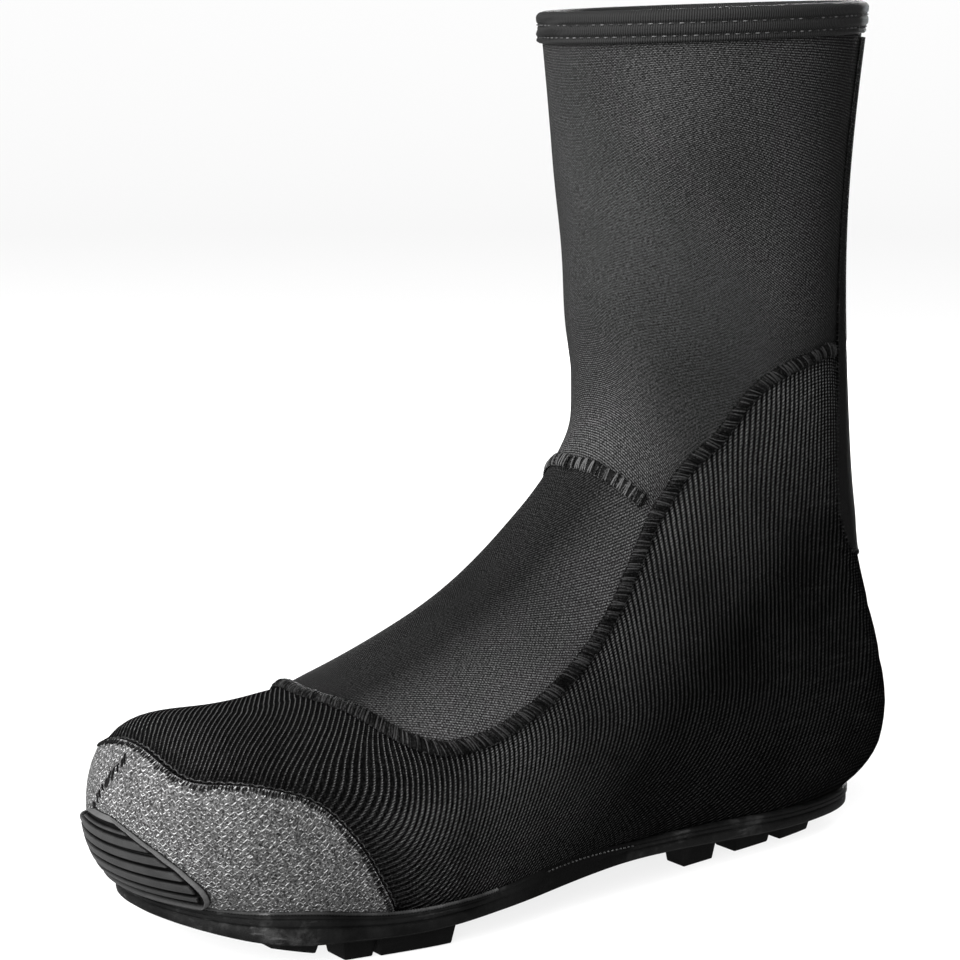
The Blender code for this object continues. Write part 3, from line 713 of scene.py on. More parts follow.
def lug_mesh(left, right):
    """Tapered lugs under both sides of the sole, each reaching up into it."""
    vertices = []
    faces = []
    steps = LUG_STEPS
    for side, inward in ((left, -1.0), (right, 1.0)):
        order = np.argsort(side[:, 0])
        for front, back, front_rise, back_rise, inset, width in LUGS.values():
            lengths = np.linspace(back, front, steps)
            edge = np.interp(lengths, side[order, 0], side[order, 1])
            edge += inward * (inset - sole_line("stand_out", lengths))
            rise = np.linspace(back_rise, front_rise, steps)
            seat = sole_line("strip", lengths) + LUG_SEAT
            start = len(vertices)
            ends = np.linspace(-1.0, 1.0, steps)
            for level, draft in ((rise, 0.0), (seat, LUG_DRAFT)):
                for shift in (-draft, width + draft):
                    for k in range(steps):
                        x = lengths[k] + ends[k] * draft
                        vertices.append((x, edge[k] + inward * shift, level[k]))
            rows = [start, start + steps, start + 3 * steps, start + 2 * steps]
            block = []
            for a, b in zip(rows, rows[1:] + rows[:1]):
                for k in range(steps - 1):
                    block.append((a + k, a + k + 1, b + k + 1, b + k))
            for k, turn in ((0, 1), (steps - 1, -1)):
                block.append(tuple([row + k for row in rows][::turn]))
            faces += [face[::-1] for face in block] if inward > 0.0 else block
    return np.array(vertices), faces


def level_left(path):
    """Level directions to the left of a path."""
    along = unit(np.gradient(path, axis=0))
    return unit(np.stack([-along[:, 1], along[:, 0], np.zeros(len(path))], axis=1))


def bead_mesh(left, right):
    """Corded bead along the strip's top edge, round the forefoot."""
    path = np.vstack([left[left[:, 0] > BEAD_FROM], right[right[:, 0] > BEAD_FROM][-2::-1]])
    run = run_along(path)
    path = at_run(path, run, np.arange(0.0, run[-1], BEAD_PITCH / 2.0))
    out = level_left(path)
    path = path + out * (sole_line("stand_out", path[:, 0]) + BEAD_OUT)[:, None]
    path[:, 2] = sole_line("feather", path[:, 0]) + BEAD_LIFT
    radius = np.array(BEAD_RADII)[np.arange(len(path)) % 2]
    return tubes(path[None], out[None], radius[None], BEAD_SIDES)


def hem_stitches(left, right):
    """Short stitches along the turned hem under the arch, on both sides."""
    made = []
    for loop, way in ((left, 1.0), (right, -1.0)):
        path = loop[(loop[:, 0] > HEM_RANGE[0]) & (loop[:, 0] < HEM_RANGE[1])]
        path = path[np.argsort(path[:, 0])]
        out = way * level_left(path)
        path = path + out * (sole_line("stand_out", path[:, 0]) + HEM_OUT)[:, None]
        feather = sole_line("feather", path[:, 0])
        path[:, 2] = feather - HEM_DOWN * (feather - sole_line("strip", path[:, 0]))
        run = run_along(path)
        starts = np.arange(0.0, run[-1] - 1.0, HEM_PITCH)
        places = starts[:, None] + np.linspace(0.0, HEM_STITCH, LOOP_STEPS)
        dashes = np.stack([at_run(path, run, row) for row in places])
        outs = np.stack([at_run(out, run, row) for row in places])
        made.append(tubes(dashes, unit(outs), HEM_RADIUS))
    return join(*made)


def toe_outline(height):
    """Outline of the toe at one height, from its left side round the front to its right."""
    rows = FINE_ROWS[1:BALL * FINE_STEPS]
    top_x, top_z, base_x, base_z, half, mid_y, widest, top_power, base_power = rows.T
    share = (height - base_z) / (top_z - base_z)
    below = share < widest
    power = np.where(below, base_power, top_power)
    reach = np.where(below, widest, 1.0 - widest)
    inside = np.clip(1.0 - (np.abs(share - widest) / reach) ** power, 0.0, 1.0)
    width = inside ** (1.0 / power) * half
    x = base_x + share * (top_x - base_x)
    crossed = (share > 0.0) & (share < 1.0)
    left = np.stack([x, mid_y + width, np.full(len(x), height)], axis=1)[crossed]
    right = np.stack([x, mid_y - width, np.full(len(x), height)], axis=1)[crossed]
    return np.vstack([left[::-1], right])


def toe_point(height, arc):
    """Point and level direction along the toe, at an arc from its front, left positive."""
    path = toe_outline(height)
    run = run_along(path)
    front = 0.5 * (run[len(run) // 2 - 1] + run[len(run) // 2])
    before, point, after = at_run(path, run, front - arc + np.array([-2.0, 0.0, 2.0]))
    return point, after - before


def guard_coordinates(points):
    """Along the toe's outline and up it, in millimetres."""
    path = toe_outline(TOE_OUTLINE_HEIGHT)
    heading = np.unwrap(np.arctan2(path[:, 1] - TOE_MIDDLE[1], path[:, 0] - TOE_MIDDLE[0]))
    at = np.arctan2(points[:, 1] - TOE_MIDDLE[1], points[:, 0] - TOE_MIDDLE[0])
    along = np.interp(-at, -heading, run_along(path))
    return np.stack([along, TOE_SLOPE * points[:, 2], np.zeros(len(points))], axis=1)


def toe_seam_aside(height):
    """How far the guard's seam lies to the left of the toe's middle, by height."""
    table = np.array(TOE_SEAM)
    return np.interp(height, table[:, 0], table[:, 1])


def toe_seam_frames():
    """Points, normals and side directions up the seam in front of the toe."""
    heights = np.linspace(TOE_SEAM[0][0], TOE_SEAM[-1][0] - 1.0, 40)
    points = []
    normals = []
    for height in heights:
        arc = toe_seam_aside(height)
        point, along = toe_point(height, arc)
        below, _ = toe_point(height - 1.0, arc)
        points.append(point)
        normals.append(unit(np.cross(point - below, along)))
    points = np.array(points)
    normals = np.array(normals)
    along = unit(np.gradient(points, axis=0))
    return points, normals, unit(np.cross(normals, along))


def grid_shell(outer, inner):
    """Closed wall between two grids of points, rows by columns."""
    rows, columns, _ = outer.shape
    index = np.arange(rows * columns).reshape(rows, columns)
    a = index[:-1, :-1].ravel()
    b = index[:-1, 1:].ravel()
    c = index[1:, 1:].ravel()
    d = index[1:, :-1].ravel()
    count = rows * columns
    faces = [np.stack([a, b, c, d], axis=1), np.stack([d, c, b, a], axis=1) + count]
    rim = np.concatenate([index[0], index[1:, -1], index[-1, -2::-1], index[-2:0:-1, 0]])
    after = np.roll(rim, -1)
    faces.append(np.stack([after, rim, rim + count, after + count], axis=1))
    return np.vstack([outer.reshape(-1, 3), inner.reshape(-1, 3)]), np.vstack(faces)


def bumper_mesh():
    """Toe bumper: a raised rim round six ribs with slanted ends, curved to the toe."""
    rises = np.linspace(0.0, 1.0, BUMPER_ROWS + 1)
    shares = np.linspace(-1.0, 1.0, BUMPER_COLUMNS + 1)
    half_table = np.array(BUMPER_HALF)
    outer = np.empty((len(rises), len(shares), 3))
    inner = np.empty_like(outer)
    rub_and_groove_shade = np.empty((len(rises), len(shares)))
    feet = {}
    for j, share in enumerate(shares):
        for i, rise in enumerate(rises):
            half = np.interp(rise, half_table[:, 0], half_table[:, 1])
            arc = share * half
            key = round(arc, 1)
            if key not in feet:
                feet[key] = sole_line("feather", toe_point(BUMPER_FOOT, arc)[0][0])[0]
            foot = feet[key] + BUMPER_ABOVE_SOLE
            tall = BUMPER_TOP - foot
            height = foot + rise * tall
            point, along = toe_point(height, arc)
            above, _ = toe_point(height + 1.0, arc)
            normal = unit(np.cross(above - point, along))
            edge = min((1.0 - abs(share)) * half, rise * tall, (1.0 - rise) * tall)
            rim = 1.0 - smooth(*RIM_FALL, edge)
            wave = ((rise - RIB_FIRST) / RIB_SPAN * BUMPER_RIBS) % 1.0
            rib = smooth(*RIB_RISE, wave) * (1.0 - smooth(*RIB_FALL, wave))
            rib *= smooth(*RIB_END, edge)
            inside = BUMPER_GROOVE + (BUMPER_RIB - BUMPER_GROOVE) * rib
            rounding = RIM_ROUNDING * (1.0 - smooth(0.0, RIM_ROUNDING, edge))
            relief = max(rim * BUMPER_RIM, inside * (1.0 - rim)) - rounding
            inner[i, j] = point + normal * BUMPER_BASE
            outer[i, j] = point + normal * (BUMPER_BASE + max(relief, BUMPER_LEAST))
            # Painted shade: the grooves between the ribs dark and the rim darker at its foot; the rim
            # and rib tops rubbed paler.
            rim_with_foot_shade = rim * smooth(-1.0, 3.0, rise * tall)
            rub_and_groove_shade[i, j] = 0.9 * rim_with_foot_shade + (1.0 - rim) * (0.06 + 0.44 * rib)
    vertices, faces = grid_shell(outer, inner)
    marks = np.concatenate([rub_and_groove_shade.ravel(), np.zeros(rub_and_groove_shade.size)])
    return vertices, faces, marks


def seam_frames(line, count):
    """Points, normals and side directions along a line, carried over to the right side."""
    path = line_path(line, count)
    path = np.vstack([path[::-1], path[1:] * (1.0, -1.0)])
    points = surface(path[:, 0], path[:, 1])
    normals = surface_normals(path[:, 0], path[:, 1])
    along = unit(np.gradient(points, axis=0))
    return points, normals, unit(np.cross(normals, along))


def wrapped_faces(layers, count, closed):
    """Four-sided faces between layers of points, with the last layer joined to the first."""
    i = np.arange(count if closed else count - 1)
    j = (i + 1) % count
    starts = np.arange(layers) * count
    rows = zip(starts, np.roll(starts, -1))
    return np.vstack([np.stack([a + i, a + j, b + j, b + i], axis=1) for a, b in rows])


def seam_mesh(frames, width, low, height):
    """A low rounded strip along a seam."""
    points, normals, across = frames
    turns = np.linspace(0.0, math.pi, 9)
    profile = [(-width / 2.0 * math.cos(t), low + height * math.sin(t) ** 0.7) for t in turns]
    profile = [(-width / 2.0, low)] + profile[1:-1] + [(width / 2.0, low)]
    layers = [points + across * side + normals * rise for side, rise in profile]
    count = len(points)
    sides = len(profile)
    faces = [tuple(face) for face in wrapped_faces(sides, count, False)]
    for end, turn in ((0, 1), (count - 1, -1)):
        faces.append(tuple([k * count + end for k in range(sides)][::turn]))
    return np.vstack(layers), faces


def tubes(paths, normals, radius, sides=THREAD_SIDES):
    """Closed thread pieces along paths; arrays of pieces by points, radius by piece, point or both."""
    paths = np.asarray(paths, float)
    along = unit(np.gradient(paths, axis=1))
    side = unit(np.cross(along, normals))
    up = np.cross(side, along)
    pieces, steps, _ = paths.shape
    taper = np.ones(steps)
    taper[0] = 0.55
    taper[-1] = 0.55
    radius = np.broadcast_to(np.atleast_2d(radius), (pieces, steps)) * taper
    turns = 2.0 * math.pi * np.arange(sides) / sides
    ring = side[:, :, None] * np.cos(turns)[:, None] + up[:, :, None] * np.sin(turns)[:, None]
    vertices = paths[:, :, None] + ring * radius[..., None, None]
    index = np.arange(pieces * steps * sides).reshape(pieces, steps, sides)
    after = np.roll(index, -1, axis=2)
    quads = np.stack([index[:, :-1], after[:, :-1], after[:, 1:], index[:, 1:]], axis=-1).reshape(-1, 4)
    faces = [tuple(face) for face in quads]
    faces += [tuple(face) for face in index[:, 0, ::-1]]
    faces += [tuple(face) for face in index[:, -1]]
    return vertices.reshape(-1, 3), faces


def join(*meshes):
    """Several meshes as one list of vertices and faces."""
    vertices = []
    faces = []
    start = 0
    for part, part_faces in meshes:
        vertices.append(part)
        faces += [tuple(int(v) + start for v in face) for face in part_faces]
        start += len(part)
    return np.vstack(vertices), faces


def shades(count, spread):
    """Random shades about the middle."""
    return np.clip(0.5 + spread * RANDOM.normal(size=count), 0.0, 1.0)


def on_seam(frames, at, aside, lift):
    """Points beside and above a seam, at distances along it, and the way up there."""
    points, normals, across = frames
    run = run_along(points)
    up = unit(at_run(normals, run, at))
    side = unit(at_run(across, run, at))
    beside = at_run(points, run, at) + side * np.reshape(aside, (-1, 1))
    return beside + up * np.reshape(lift, (-1, 1)), up


def by_piece(steps):
    """Paths and ways up as arrays of pieces by points, from one pair of rows for each step."""
    paths, ups = zip(*steps)
    return np.stack(paths, axis=1), np.stack(ups, axis=1)


def overlock(frames, width, pitch, height, slant, group, gather):
    """Thread bars across a seam, gathered in groups on one side, with loops along both edges."""
    length = run_along(frames[0])[-1]
    groups = int(length / (group * pitch))
    step = length / groups
    count = groups * group
    centres = (np.arange(groups) + 0.5) * step + RANDOM.normal(0.0, 0.25 * pitch, groups)
    centres = np.repeat(centres, group)
    offsets = np.tile(np.arange(group) - (group - 1) / 2.0, groups) * 0.86 * step / group
    lean = slant * (1.0 + 0.15 * RANDOM.normal(size=count))
    reach = width / 2.0 * (1.0 + 0.08 * RANDOM.normal(size=count))
    swell = np.repeat(1.0 + 0.24 * RANDOM.normal(size=groups).clip(-1.5, 1.5), group)
    steps = []
    for share in np.linspace(-1.0, 1.0, BAR_STEPS):
        spread = 1.0 - gather * (1.0 - share) / 2.0
        at = np.clip(centres + offsets * spread + lean * share, 0.0, length)
        lift = height * math.sqrt(1.0 - 0.96 * share * share) * swell + 0.05
        steps.append(on_seam(frames, at, share * reach, lift))
    radius = 0.30 * pitch * (1.0 + 0.15 * RANDOM.normal(size=count))
    meshes = [tubes(*by_piece(steps), radius[:, None])]
    tones = [np.repeat(shades(count, 0.42), BAR_STEPS * THREAD_SIDES)]
    starts = np.arange(0.4, length - 2.0, LOOP_PITCH)
    for edge in (-1.0, 1.0):
        steps = []
        for share in np.linspace(0.0, 1.0, LOOP_STEPS):
            wander = edge * (width / 2.0 + 0.25 * math.sin(share * math.pi))
            steps.append(on_seam(frames, starts + share * LOOP_LENGTH, wander, 0.12))
        meshes.append(tubes(*by_piece(steps), 0.26))
        tones.append(np.repeat(shades(len(starts), 0.2) * 0.6, LOOP_STEPS * THREAD_SIDES))
    return *join(*meshes), np.concatenate(tones)


def edge_bars(frames, before, beyond, low, high, pitch, slant, radius):
    """Short thread bars over a cloth edge, from one side of it to the other."""
    length = run_along(frames[0])[-1]
    count = int(length / pitch)
    places = (np.arange(count) + 0.5) * length / count + RANDOM.normal(0.0, 0.15 * pitch, count)
    first = before * (1.0 + 0.18 * RANDOM.normal(size=count))
    last = beyond * (1.0 + 0.18 * RANDOM.normal(size=count))
    lean = slant * (1.0 + 0.5 * RANDOM.normal(size=count))
    steps = []
    for share in np.linspace(0.0, 1.0, EDGE_STEPS):
        at = np.clip(places + lean * (share - 0.5), 0.0, length)
        lift = low + (high - low) * (1.0 - share) + 0.35 * math.sin(share * math.pi)
        steps.append(on_seam(frames, at, -first + (first + last) * share, lift))
    thickness = radius * (1.0 + 0.12 * RANDOM.normal(size=count))
    mesh = tubes(*by_piece(steps), thickness[:, None])
    return *mesh, np.repeat(shades(count, 0.25), EDGE_STEPS * THREAD_SIDES)


def cord(frames, aside, lift, radius):
    """One thread that runs along a line, beside it and slightly swaying."""
    points, normals, across = frames
    sway = 0.25 * np.sin(np.arange(len(points)) * 1.9)
    path = points + across * (aside + sway)[:, None] + normals * lift
    return tubes(path[None], normals[None], radius)


def binding_profile():
    """Folded band over the collar: distance down the wall, distance out, as a closed line."""
    near = GAP + 0.1
    thick = BINDING_THICKNESS
    outside = []
    deep, wide = BAND_GROOVE
    thinned, hem_reach = BAND_HEM
    for down in np.linspace(BINDING_DEPTH, BAND_SHOULDER, 30):
        groove = sum(deep * math.exp(-((down - row) / wide) ** 2) for row in BINDING_ROWS)
        share = (down - BAND_SHOULDER) / (BINDING_DEPTH - BAND_SHOULDER)
        belly = BAND_BELLY * math.sin(share * math.pi)
        hem = thinned * smooth(BINDING_DEPTH - hem_reach, BINDING_DEPTH, down)
        outside.append((down, near + thick - groove + belly - hem))
    middle = -WALL / 2.0
    reach = near + thick + WALL / 2.0
    crown = []
    for turn in np.linspace(0.0, math.pi, 13):
        crown.append((0.6 - (near + thick + 0.6) * math.sin(turn), middle + reach * math.cos(turn)))
    inside = [(down, -WALL - near - thick) for down in np.linspace(BAND_SHOULDER, BINDING_INSIDE, 8)]
    back = [(BINDING_INSIDE, -WALL - near), (-near, -WALL - near), (-near, near), (BINDING_DEPTH, near)]
    return outside + crown + inside + back


def binding_frames(girths):
    """Top edge points of the collar, the way up along the wall and the way out."""
    top = section_points(CUFF, girths)
    below = section_points(CUFF - 0.3, girths)
    up = unit(top - below)
    ahead = section_points(CUFF, girths + 0.005)
    behind = section_points(CUFF, girths - 0.005)
    out = unit(np.cross(up, ahead - behind))
    out *= np.sign((out * (top - top.mean(axis=0))).sum(axis=1, keepdims=True))
    return top, up, out


def wall_points(girths, down):
    """Points on the upper's outside at a distance down from the collar's edge."""
    levels = np.array([section_points(CUFF - k, girths) for k in np.linspace(0.0, 0.8, 25)])
    steps = np.linalg.norm(np.diff(levels, axis=0), axis=2)
    runs = np.vstack([np.zeros(len(girths)), np.cumsum(steps, axis=0)])
    return np.array([at_run(levels[:, i], runs[:, i], [down])[0] for i in range(len(girths))])


def lap_fold(girths, down):
    """Slanted folds where the band's ends lap, in front."""
    reach = smooth(-0.27, -0.20, girths) * (1.0 - smooth(-0.06, 0.02, girths))
    fold = 0.0
    for start, height in LAP_FOLDS:
        away = down - start + LAP_SLOPE * (girths + LAP_MIDDLE)
        fold = fold + height * np.exp(-(away / LAP_REACH) ** 2)
    return fold * reach * smooth(0.0, 2.0, down)


def binding_mesh():
    """Folded band with two sewn grooves, rolled over the collar's edge."""
    girths = -1.0 + 2.0 * np.arange(BAND_STEPS) / BAND_STEPS
    top, up, out = binding_frames(girths)
    layers = []
    for down, beyond in binding_profile():
        if down > 0.0:
            base = wall_points(girths, down)
        else:
            base = top - up * down
        fold = lap_fold(girths, down) if beyond > 0.0 else 0.0
        layers.append(base + out * np.reshape(beyond + fold, (-1, 1)))
    marks = np.zeros((len(layers), BAND_STEPS, 3))
    marks[:, :, 0] = girths * GIRTHS[-1]
    return np.vstack(layers), wrapped_faces(len(layers), BAND_STEPS, True), marks.reshape(-1, 3)


def binding_stitches():
    """Two rows of short stitches in the band's grooves."""
    made = []
    tones = []
    count = int(2.0 * GIRTHS[-1] / BAND_STITCH_PITCH)
    length = BAND_STITCH_LENGTH / GIRTHS[-1]
    for down, phase in zip(BINDING_ROWS, (0.0, 0.4)):
        starts = -1.0 + 2.0 * (np.arange(count) + phase) / count
        steps = []
        for share in np.linspace(0.0, 1.0, STITCH_STEPS):
            girths = (starts + share * length + 1.0) % 2.0 - 1.0
            _, _, out = binding_frames(girths)
            lift = GAP + 0.1 + BINDING_THICKNESS - 0.42 + 0.26 * math.sin(share * math.pi)
            steps.append((wall_points(girths, down) + out * lift, out))
        made.append(tubes(*by_piece(steps), BAND_STITCH_RADIUS))
        tones.append(np.repeat(shades(count, 0.2), STITCH_STEPS * THREAD_SIDES))
    return *join(*made), np.concatenate(tones)


def piece(name, vertices, faces, materials, face_materials=None, marks=None, smooth_angle=50.0):
    """A shown mesh object in metres, in the row frame, with its marks for the materials."""
    vertices = np.asarray(vertices, float)
    mesh = bpy.data.meshes.new(name)
    placed = vertices * SCALE + SHIFT
    mesh.from_pydata(placed.tolist(), [], [tuple(int(v) for v in face) for face in faces])
    for material in materials:
        mesh.materials.append(material)
    if face_materials is not None:
        mesh.polygons.foreach_set("material_index", np.asarray(face_materials, np.int32))
    for key, values in (marks or {}).items():
        values = np.asarray(values, np.float32)
        if values.ndim == 1:
            attribute = mesh.attributes.new(key, "FLOAT", "POINT")
            attribute.data.foreach_set("value", values)
        else:
            attribute = mesh.attributes.new(key, "FLOAT_VECTOR", "POINT")
            attribute.data.foreach_set("vector", values.ravel())
    mesh.polygons.foreach_set("use_smooth", np.ones(len(mesh.polygons), bool))
    mesh.set_sharp_from_angle(angle=math.radians(smooth_angle))
    mesh.update()
    made = bpy.data.objects.new(name, mesh)
    bpy.context.scene.collection.objects.link(made)
    return made


def outward_faces(vertices, faces):
    """Faces turned so that a closed mesh encloses a positive volume."""
    total = 0.0
    for face in faces:
        for k in range(1, len(face) - 1):
            total += np.dot(vertices[face[0]], np.cross(vertices[face[k]], vertices[face[k + 1]]))
    return faces if total > 0.0 else [tuple(face)[::-1] for face in faces]


class Nodes:
    """Short names for the nodes of one material."""

    def __init__(self, name, colour, roughness):
        self.material = bpy.data.materials.new(name)
        self.material.use_nodes = True
        self.tree = self.material.node_tree
        self.shader = self.tree.nodes["Principled BSDF"]
        self.shader.inputs["Base Color"].default_value = (*colour, 1.0)
        self.shader.inputs["Roughness"].default_value = roughness

    def add(self, kind, **settings):
        node = self.tree.nodes.new(kind)
        for key, value in settings.items():
            setattr(node, key, value)
        return node

    def link(self, source, target):
        self.tree.links.new(source, target)

    def put(self, socket, value):
        if isinstance(value, bpy.types.NodeSocket):
            self.link(value, socket)
        else:
            socket.default_value = value

    def math(self, operation, first, second=None):
        node = self.add("ShaderNodeMath", operation=operation)
        self.put(node.inputs[0], first)
        if second is not None:
            self.put(node.inputs[1], second)
        return node.outputs[0]

    def mark(self, name):
        """Named coordinates of the mesh: three numbers and the whole vector."""
        attribute = self.add("ShaderNodeAttribute", attribute_name=name)
        split = self.add("ShaderNodeSeparateXYZ")
        self.link(attribute.outputs["Vector"], split.inputs[0])
        return (*split.outputs, attribute.outputs["Vector"])

    def level(self, name):
        """Named single number of the mesh."""
        return self.add("ShaderNodeAttribute", attribute_name=name).outputs["Fac"]

    def place(self):
        """Position on the shoe in metres."""
        return self.add("ShaderNodeTexCoord").outputs["Object"]

    def axes(self):
        """Position on the shoe in metres, as length, side and height."""
        split = self.add("ShaderNodeSeparateXYZ")
        self.link(self.place(), split.inputs[0])
        return split.outputs

    def turned(self, first, second, angle):
        """Two coordinates turned by an angle."""
        sine = math.sin(angle)
        cosine = math.cos(angle)
        rows = (self.math("MULTIPLY", first, cosine), self.math("MULTIPLY", second, sine))
        flow = (self.math("MULTIPLY", first, sine), self.math("MULTIPLY", second, cosine))
        return self.math("SUBTRACT", *rows), self.math("ADD", *flow)

    def noise(self, vector, scale, detail=3.0, rough=0.55):
        node = self.add("ShaderNodeTexNoise")
        self.link(vector, node.inputs["Vector"])
        node.inputs["Scale"].default_value = scale
        node.inputs["Detail"].default_value = detail
        node.inputs["Roughness"].default_value = rough
        return node.outputs["Fac"]

    def stretched_noise(self, vector, stretch, detail):
        """Noise drawn out along the axes of a vector."""
        mapping = self.add("ShaderNodeMapping")
        mapping.inputs["Scale"].default_value = stretch
        self.link(vector, mapping.inputs["Vector"])
        return self.noise(mapping.outputs["Vector"], 1.0, detail)

    def remap(self, value, low, high, to_low, to_high):
        node = self.add("ShaderNodeMapRange", clamp=True)
        self.put(node.inputs["Value"], value)
        node.inputs["From Min"].default_value = low
        node.inputs["From Max"].default_value = high
        node.inputs["To Min"].default_value = to_low
        node.inputs["To Max"].default_value = to_high
        return node.outputs["Result"]

    def ramp(self, value, stops):
        node = self.add("ShaderNodeValToRGB")
        elements = node.color_ramp.elements
        while len(elements) < len(stops):
            elements.new(0.5)
        for element, (place, level) in zip(elements, stops):
            element.position = place
            element.color = (*level, 1.0) if isinstance(level, tuple) else (level, level, level, 1.0)
        self.put(node.inputs["Fac"], value)
        return node.outputs["Color"]

    def wave(self, value, pitch, phase=None):
        """Cosine wave from 0 to 1 along a length in millimetres."""
        turned = self.math("MULTIPLY", value, 2.0 * math.pi / pitch)
        if phase is not None:
            turned = self.math("ADD", turned, phase)
        swing = self.math("COSINE", turned)
        half = self.math("MULTIPLY", swing, 0.5)
        return self.math("ADD", half, 0.5)

    def scaled(self, colour, factor):
        """A colour made lighter or darker by a factor."""
        node = self.add("ShaderNodeVectorMath", operation="SCALE")
        self.link(colour, node.inputs[0])
        self.link(factor, node.inputs["Scale"])
        return node.outputs["Vector"]

    def colour(self, value):
        self.link(value, self.shader.inputs["Base Color"])

    def rough(self, value):
        self.link(value, self.shader.inputs["Roughness"])

    def bump(self, height, distance, strength=1.0, under=None):
        node = self.add("ShaderNodeBump")
        node.inputs["Strength"].default_value = strength
        node.inputs["Distance"].default_value = distance
        self.link(height, node.inputs["Height"])
        if under is not None:
            self.link(under, node.inputs["Normal"])
        return node.outputs["Normal"]

    def normal(self, value):
        self.link(value, self.shader.inputs["Normal"])

    def set(self, **values):
        for key, value in values.items():
            self.shader.inputs[key.replace("_", " ")].default_value = value


def ribbed_cloth():
    """Black ribbed knit: ribs of small stitches with painted highlights on the ridges, and painted
    shade that darkens it towards the heel and the lower side.
    """
    m = Nodes("ribbed_cloth", (0.012, 0.012, 0.012), 0.7)
    across, along, pull, _ = m.mark("rib")
    drift = m.noise(m.place(), 90.0, 2.0)
    across = m.math("ADD", across, m.remap(drift, 0.0, 1.0, -0.35, 0.35))
    flat = m.remap(m.level("flat"), 0.0, 1.0, 1.0, 0.40)
    narrow = m.remap(m.level("narrow"), 0.0, 1.0, 0.75, 3.6)
    ridge = m.math("MULTIPLY", m.math("POWER", m.wave(across, RIB_PITCH), narrow), flat)
    rib = m.math("ADD", m.math("DIVIDE", across, RIB_PITCH), 0.5)
    slant = m.math("MULTIPLY", m.math("FRACT", rib), 0.9)
    loop = m.math("ADD", along, slant)
    stitch = m.wave(loop, STITCH_PITCH, m.math("MULTIPLY", m.math("FLOOR", rib), 2.4))
    height = m.math("MULTIPLY", ridge, m.remap(stitch, 0.15, 0.85, 0.42, 1.0))
    fuzz = m.noise(m.place(), 1500.0, 2.0, 0.7)
    height = m.math("ADD", height, m.remap(fuzz, 0.3, 0.7, -0.22, 0.26))
    streak = m.stretched_noise(m.place(), (70.0, 70.0, 900.0), 3.0)
    streak = m.math("MULTIPLY", m.remap(streak, 0.54, 0.66, 0.0, 0.22), pull)
    wear = m.noise(m.place(), 26.0, 3.0)
    tone = m.math("MULTIPLY", height, m.remap(wear, 0.3, 0.7, 0.82, 1.15))
    tone = m.math("ADD", tone, streak)
    # Painted highlight and shade: the rib ridges lighter and the furrows darker, as light falls on the
    # ribs; fuzz and wear vary the tone at random.
    colour = m.ramp(tone, ((0.0, 0.0005), (0.30, 0.0034), (0.70, 0.016), (1.0, 0.050)))
    # Painted shade: the ribbed cloth darker towards the heel and the lower side, lighter towards the
    # toe and the top, as the light falls.
    length, _, rise = m.axes()
    painted_shade_place = m.math("ADD", length, m.math("MULTIPLY", rise, 1.3))
    m.colour(m.scaled(colour, m.remap(painted_shade_place, 0.035, 0.125, 0.26, 1.2)))
    m.rough(m.remap(height, 0.0, 1.0, 0.95, 0.68))
    m.set(Specular_IOR_Level=0.0)
    m.normal(m.bump(m.math("ADD", height, streak), 0.0008))
    return m.material


def jersey_cloth(name, levels, turn=0.0, painted_shade_by_ridge=None):
    """Smooth jersey over foam: fine stitch rows, turned by degrees, broken into light specks, with
    painted shade by distance from the ridge.
    """
    m = Nodes(name, (0.05, 0.05, 0.05), 0.85)
    along, around, _, _ = m.mark("cloth")
    from_ridge = m.math("ABSOLUTE", around)
    rows, flow = along, from_ridge
    if turn:
        rows, flow = m.turned(along, from_ridge, math.radians(turn))
    drift = m.noise(m.place(), 60.0, 2.0)
    rows = m.math("ADD", rows, m.remap(drift, 0.0, 1.0, -0.4, 0.4))
    line = m.wave(rows, JERSEY_ROW)
    row = m.math("FLOOR", m.math("ADD", m.math("DIVIDE", rows, JERSEY_ROW), 0.5))
    loop = m.wave(flow, JERSEY_LOOP, m.math("MULTIPLY", row, math.pi))
    drawn = m.add("ShaderNodeCombineXYZ")
    m.link(m.math("MULTIPLY", rows, 1.8), drawn.inputs["X"])
    m.link(m.math("MULTIPLY", flow, 0.95), drawn.inputs["Y"])
    speck = m.noise(drawn.outputs["Vector"], 1.0, 2.0)
    grain = m.noise(m.place(), 1900.0, 2.0, 0.7)
    broad = m.noise(m.place(), 16.0, 3.0)
    knit = m.math("MULTIPLY", line, m.remap(loop, 0.0, 1.0, 0.36, 0.72))
    height = m.math("ADD", knit, m.remap(speck, 0.30, 0.70, -0.08, 0.46))
    height = m.math("ADD", height, m.remap(grain, 0.3, 0.7, -0.20, 0.20))
    tone = m.math("MULTIPLY", height, m.remap(broad, 0.3, 0.7, 0.88, 1.1))
    colour = m.ramp(tone, ((0.0, levels[0]), (0.45, levels[1]), (1.0, levels[2])))
    # Painted shade: the colour scaled by distance from the ridge, as light falls across the panel.
    if painted_shade_by_ridge:
        colour = m.scaled(colour, m.remap(from_ridge, *painted_shade_by_ridge))
    m.colour(colour)
    m.set(Specular_IOR_Level=0.01)
    m.normal(m.bump(height, 0.00036))
    return m.material


